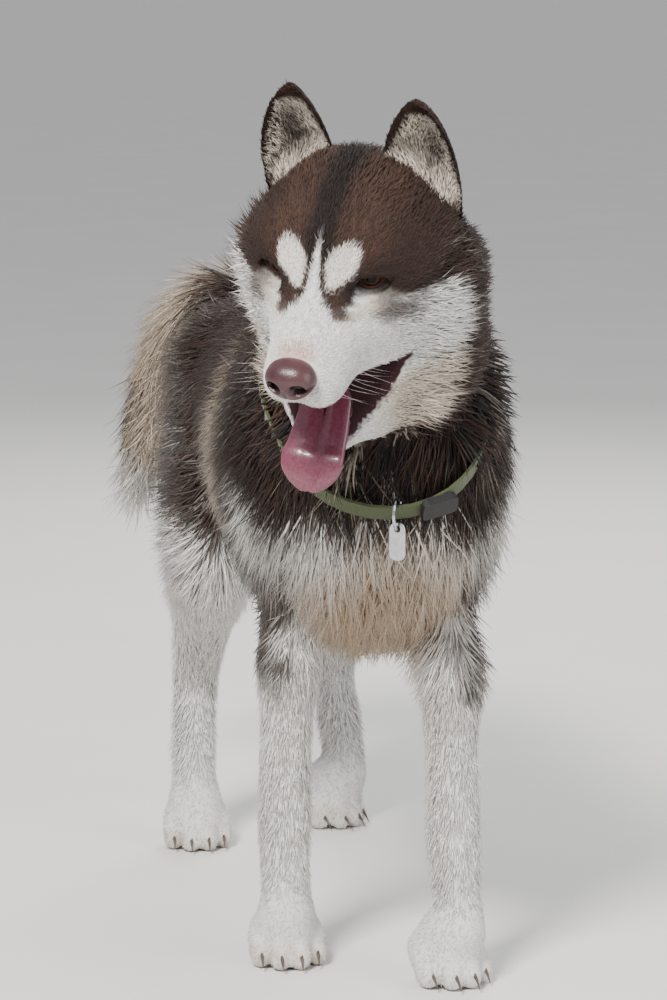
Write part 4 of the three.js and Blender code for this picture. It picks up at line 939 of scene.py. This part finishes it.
def make_ear(name, sign):
    rings = []
    levels = 26
    for n in range(levels + 1):
        t = 0.955 * n / levels
        a, b = curve_at(EAR_INNER, t), curve_at(EAR_OUTER, t)
        narrow = math.sqrt(max(1 - max((t - 0.84) / 0.118, 0) ** 2, 0.01))
        a, b = mix(a, (a + b) / 2, 1 - narrow), mix(b, (a + b) / 2, 1 - narrow)
        width = np.linalg.norm(a - b)
        back, wall = 0.40 * width, 3.5 + 0.03 * width
        hollow = smooth(0, 0.2, t)
        ring = []
        for share in np.linspace(0, 1, 15):
            p = a + (b - a) * share
            ring.append(p + (0, back * 4 * share * (1 - share), 0))
        for share in np.linspace(0.95, 0.05, 13):
            p = a + (b - a) * share
            deep = max(back - wall * 1.5, -0.5) * hollow
            ring.append(p + (0, deep * 4 * share * (1 - share), 0))
        rings.append([in_head(p * (sign, 1, 1)) for p in ring])
    points, faces = loft(rings)
    faces = outward(points, faces)
    normals = vertex_normals(points, faces)
    local = to_head(points) * (sign, 1, 1)
    inner = smooth(-0.05, -0.45, (normals @ HEAD_AXES)[:, 1])
    inside = inner * (1 - ear_rim(local, 0.2, 0.75))
    paint = over(np.tile(BROWN, (len(points), 1)), mix(GREY, CREAM, 0.5), inside)
    # painted shade deep in the ear's hollow
    paint = over(paint, DARK, inner * spot(local[:, 0], local[:, 2], (56, 52), (13, 26), 0.6) * 0.85)
    piece = mesh_piece(name, points, faces, HIDE, paint)
    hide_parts(name)
    roots, n = scatter(points, faces, normals, lambda p: np.full(len(p), DENSITY["ears"]))
    local = to_head(roots) * (sign, 1, 1)
    keep = local[:, 2] > 20 - 0.45 * (local[:, 0] - 20)
    roots, n, local = roots[keep], n[keep], local[keep]
    inner = smooth(-0.05, -0.45, (n @ HEAD_AXES)[:, 1])
    inside = inner * (1 - ear_rim(local, 0.50, 0.90))
    colors = over(np.tile(mix(BROWN, DARK, 0.4), (len(roots), 1)), mix(CREAM, WHITE, 0.35), inside)
    # painted shade deep in the ear's hollow, on its fur too
    hollow = spot(local[:, 0], local[:, 2], (58, 50), (9, 20), 0.7)
    colors = over(colors, mix(DARK, BROWN, 0.5), inner * hollow * 0.8)
    up = np.array([-0.12, 0.0, 1.0]) + inner[:, None] * np.array([0.35, -0.45, 0.0])
    lie = (up * (sign, 1, 1)) @ HEAD_AXES.T
    length = mix(5.0, 13.0, inside * smooth(104, 78, local[:, 2]))
    tufts(name + "_fur", roots, n, lie, length, np.radians(mix(14.0, 24.0, inner)), 0.42, colors)


make_ear("ear_right", -1)
make_ear("ear_left", 1)


# Eyes keep their solids. Lids close over each in an almond, and spread over its socket to the skin.
ALMOND = (11.2, 4.4, 4.6)  # half width, height of the lower edge, height of the upper edge
SLANT = math.radians(12)
# size of the opening, extra height of its ring, distance over the ball, share of the way to the skin
LID_RINGS = [(1.0, 0, 0.1, 0), (1.0, 0, 1.3, 0), (1.12, 0.5, 2.0, 0.15),
             (1.3, 2.2, 2.2, 0.6), (1.5, 4.6, 2.0, 0.95), (2.0, 7.5, 1.0, 1.0)]


def make_lids(name, sign):
    centre = EYE * (sign, 1, 1)
    ahead, aside, up = eye_axes(sign)
    around = 48
    angle = np.arange(around) * 2 * math.pi / around
    tall = np.where(np.sin(angle) > 0, ALMOND[2], ALMOND[1])
    flat = ALMOND[0] * np.cos(angle)
    high = tall * np.sin(angle) * (1 - 0.25 * np.abs(np.cos(angle)))
    rings = []
    for size, rise, over_ball, to_skin in LID_RINGS:
        a = flat * size
        b = high * size + rise * np.sin(angle)
        a, b = a * math.cos(SLANT) - b * math.sin(SLANT), a * math.sin(SLANT) + b * math.cos(SLANT)
        b = b + EYE_LOOK
        spread = centre + np.outer(a * sign, aside) + np.outer(b, up)
        ball = np.sqrt(np.maximum((EYE_RADIUS + over_ball) ** 2 - a * a - b * b, 4.0))
        steps = np.linspace(4, 26, 45)
        depth = np.stack([form(HEAD, spread + ahead * reach) for reach in steps])
        skin_reach = steps[np.argmax(depth > -1.9, axis=0)] - 0.6 * (size > 1.9)
        rings.append(in_head(spread + np.outer(mix(ball, skin_reach, to_skin), ahead)))
    points, faces = loft(rings, close_start=False, close_end=False)
    normals = vertex_normals(points, faces)
    if (normals @ HEAD_AXES @ ahead).mean() < 0:
        faces = faces[:, ::-1]
    stage = np.arange(len(points)) // around
    turn = np.tile(angle, len(rings))
    # painted shade: the lids take the head's markings darkened to 0.75, like the skin under the coat
    paint = head_colour(to_head(points)) * 0.75
    paint = over(paint, LID_EDGE, smooth(4.0, 2.2, stage))
    pink = (stage == 1) & (np.sin(turn) < -0.35)
    paint = over(paint, LID_PINK, pink * 0.7)
    mesh_piece(name, points, faces, HIDE, paint)


make_lids("lids_right", -1)
make_lids("lids_left", 1)


# Nose with its nostrils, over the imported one
def make_nose():
    across, down = 96, 64
    theta = np.linspace(0, math.pi, down)
    phi = np.arange(across) * 2 * math.pi / across
    t, f = np.meshgrid(theta, phi, indexing="ij")
    ball = np.stack([np.sin(t) * np.cos(f), np.sin(t) * np.sin(f), np.cos(t)], -1).reshape(-1, 3)
    points = np.abs(ball) ** 0.88 * np.sign(ball) * NOSE_HALF
    x, y, z = points.T
    front = smooth(2, -6, y)
    pit = sum(spot(x, z, (s * 9.4, 0.5), (5.0, 4.6), 0.35) for s in (-1, 1)) * front
    rising = z - 0.35 * np.abs(x)
    slit = sum(spot(x, rising, (s * 15, -7.0), (4.6, 1.6), 0.5) for s in (-1, 1)) * smooth(6, -3, y)
    groove = smooth(1.6, 0.2, np.abs(x)) * front * smooth(2, -4, z)
    points[:, 1] += 8.5 * pit + 3.5 * slit + 1.6 * groove
    points[:, 0] *= 1 - 0.16 * smooth(-2, -14, z)
    points = in_head(points + NOSE_MIDDLE)
    first = np.arange(across)
    after = (first + 1) % across
    quads = np.stack([first, across + first, across + after, after], 1)
    bands = [triangles(quads + n * across) for n in range(down - 1)]
    # without the triangles that have no area at the poles
    bands[0], bands[-1] = bands[0][:across], bands[-1][across:]
    faces = outward(points, np.vstack(bands))
    # painted shade: the nostril pits, their side slits and the groove between them darkened in the leather's
    # colour
    shade = 1 - 0.93 * np.clip(pit + 0.7 * slit + 0.35 * groove, 0, 1)
    piece = mesh_piece("nose_leather", points, faces, NOSE, np.tile(shade, (3, 1)).T)
    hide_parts("nose")


make_nose()


# Tongue, lips and whiskers
TONGUE_LINE = [(-64, -71, 14, 4), (-88, -86, 19, 4.5), (-112, -101, 22, 4.5), (-130, -110, 24, 4.2),
               (-141, -113.5, 25.5, 3.8), (-149, -121, 24, 3.3), (-155, -129, 16, 3), (-158, -134, 7, 2.4)]


def make_tongue():
    line = smooth_stations(TONGUE_LINE, 6)
    along = unit(np.gradient(line[:, :2], axis=0))
    rings = []
    for (y, z, width, thick), (ay, az) in zip(line, along):
        ring = []
        for angle in np.arange(28) * 2 * math.pi / 28:
            a = math.copysign(abs(math.cos(angle)) ** 0.8, math.cos(angle))
            h = math.copysign(abs(math.sin(angle)) ** 0.7, math.sin(angle))
            if h > 0:
                h -= 0.75 * math.exp(-(a / 0.16) ** 2) - 0.25 * abs(a)
            ring.append(in_head((a * width, y + az * h * thick, z - ay * h * thick)))
        rings.append(ring)
    points, faces = loft(rings)
    piece = mesh_piece("tongue_flesh", points, outward(points, faces), TONGUE)
    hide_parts("tongue")


make_tongue()


def lip_line(height_at, drop):
    """Points along the edge of the lips, seen from above, found on the form itself."""
    line = []
    middle = np.array([0.0, -96.0])
    for angle in np.radians(np.linspace(-126, 126, 61)):
        way = np.array([math.sin(angle), -math.cos(angle)])
        reach = np.linspace(4, 80, 153)
        ys = middle[1] + way[1] * reach
        local = np.stack([middle[0] + way[0] * reach, ys, height_at(ys) + drop], 1)
        inside = form(HEAD, local) < -1.0
        last = np.flatnonzero(~inside)[0] if not inside.all() else len(reach) - 1
        p = local[last]
        if p[1] < MOUTH_CORNER[0] + 2:
            line.append(p)
    return np.array(line)


def lip_tube(name, line, radius):
    around = 10
    along = unit(np.gradient(line, axis=0))
    rings = []
    for n, (p, d) in enumerate(zip(line, along)):
        side = unit(np.cross(d, (0, 0.2, 1)))
        up = np.cross(side, d)
        r = radius * math.sin(math.pi * (0.08 + 0.84 * n / (len(line) - 1))) ** 0.5
        rings.append([in_head(p + side * math.cos(a) * r + up * math.sin(a) * r * 0.8)
                      for a in np.arange(around) * 2 * math.pi / around])
    points, faces = loft(rings)
    mesh_piece(name, points, outward(points, faces), LIPS)


lip_tube("upper_lip", lip_line(lambda y: np.full_like(y, UPPER_LIP), 1.5), 2.3)
lip_tube("lower_lip", lip_line(lower_lip_height, -1.5), 2.2)


def make_whiskers():
    roots, ways = [], []
    for sign in (-1, 1):
        for row in range(3):
            for n in range(4):
                roots.append((sign * (24 + 2.5 * n), -134 + 10 * n, -33 - 7 * row))
                ways.append((sign * 0.9, -0.25 + 0.28 * n, -0.30 - 0.2 * row))
    roots, ways = in_head(roots), unit(np.array(ways) @ HEAD_AXES.T)
    down = np.tile(HEAD_AXES @ (0, -0.5, -0.85), (len(roots), 1))
    white = np.tile(WHITE, (len(roots), 1))
    tufts("whiskers", roots, down, ways, 38.0, 0.28, 0.22, white, rings=3, mat=WHISKER)


make_whiskers()


# Solids that are kept as they are, with their finishes
def finish_node(name, mat):
    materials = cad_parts[name].data.materials
    materials.clear()
    materials.append(mat)


for side_name, sign in (("right", -1), ("left", 1)):
    glass = material(f"eye {side_name}", 0.12, eye_nodes(sign), Specular_IOR_Level=0.12)
    finish_node(f"eye_{side_name}", glass)
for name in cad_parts:
    if name.startswith("claw_"):
        finish_node(name, HORN)
for name, mat in (("collar", WEBBING), ("collar_buckle", PLASTIC), ("collar_ring", STEEL), ("tag", STEEL)):
    finish_node(name, mat)


# Floor, light and camera
def make_floor():
    concrete = mottled_nodes((0.72, 0.70, 0.67), (0.75, 0.73, 0.70), 3, 0.0)
    mesh = bpy.data.meshes.new("floor")
    square = bmesh.new()
    bmesh.ops.create_grid(square, x_segments=1, y_segments=1, size=150)
    square.to_mesh(mesh)
    square.free()
    mesh.materials.append(material("floor", 0.75, concrete))
    add_object("floor", mesh)


def area_light(name, place, target, size, power, color=(1, 1, 1)):
    light = bpy.data.lights.new(name, "AREA")
    light.size, light.energy, light.color = size, power, color
    made = add_object(name, light)
    made.location = place
    made.rotation_euler = (Vector(target) - Vector(place)).to_track_quat("-Z", "Y").to_euler()


FOCAL = 3658.6 / 1000 * 36  # millimetres of lens on a 36 mm sensor along the frame's longer side
CAMERA_TURN, CAMERA_DROP = math.radians(10.211), math.radians(8.192)
CAMERA_HEIGHT, CAMERA_ASIDE, CAMERA_AWAY = 833.1, 35.76, 2961.2


def make_camera():
    ahead = np.array([math.sin(CAMERA_TURN), math.cos(CAMERA_TURN), 0])
    right = np.array([math.cos(CAMERA_TURN), -math.sin(CAMERA_TURN), 0])
    place = np.array([0, -255, 0]) - right * CAMERA_ASIDE - ahead * CAMERA_AWAY + (0, 0, CAMERA_HEIGHT)
    data = bpy.data.cameras.new("camera")
    data.lens, data.sensor_width, data.clip_end = FOCAL, 36, 400
    camera = add_object("camera", data)
    camera.location = placed(place)
    look = ahead * math.cos(CAMERA_DROP) + np.array([0, 0, -math.sin(CAMERA_DROP)])
    camera.rotation_euler = Vector(look).to_track_quat("-Z", "Y").to_euler()
    bpy.context.scene.camera = camera


make_floor()
area_light("key", (-1.5, -2.4, 2.9), (0, -0.1, 0.4), 0.9, 270, (1, 0.97, 0.93))
area_light("fill", (2.4, -2.2, 1.5), (0, 0, 0.4), 2.2, 55, (0.94, 0.97, 1))
area_light("rim", (0.8, 2.4, 2.2), (0, 0, 0.5), 1.6, 60)
world = bpy.data.worlds.new("studio")
world.use_nodes = True
sky = world.node_tree.nodes["Background"].inputs
sky["Color"].default_value = (0.86, 0.88, 0.92, 1)
sky["Strength"].default_value = 0.7
bpy.context.scene.world = world
make_camera()
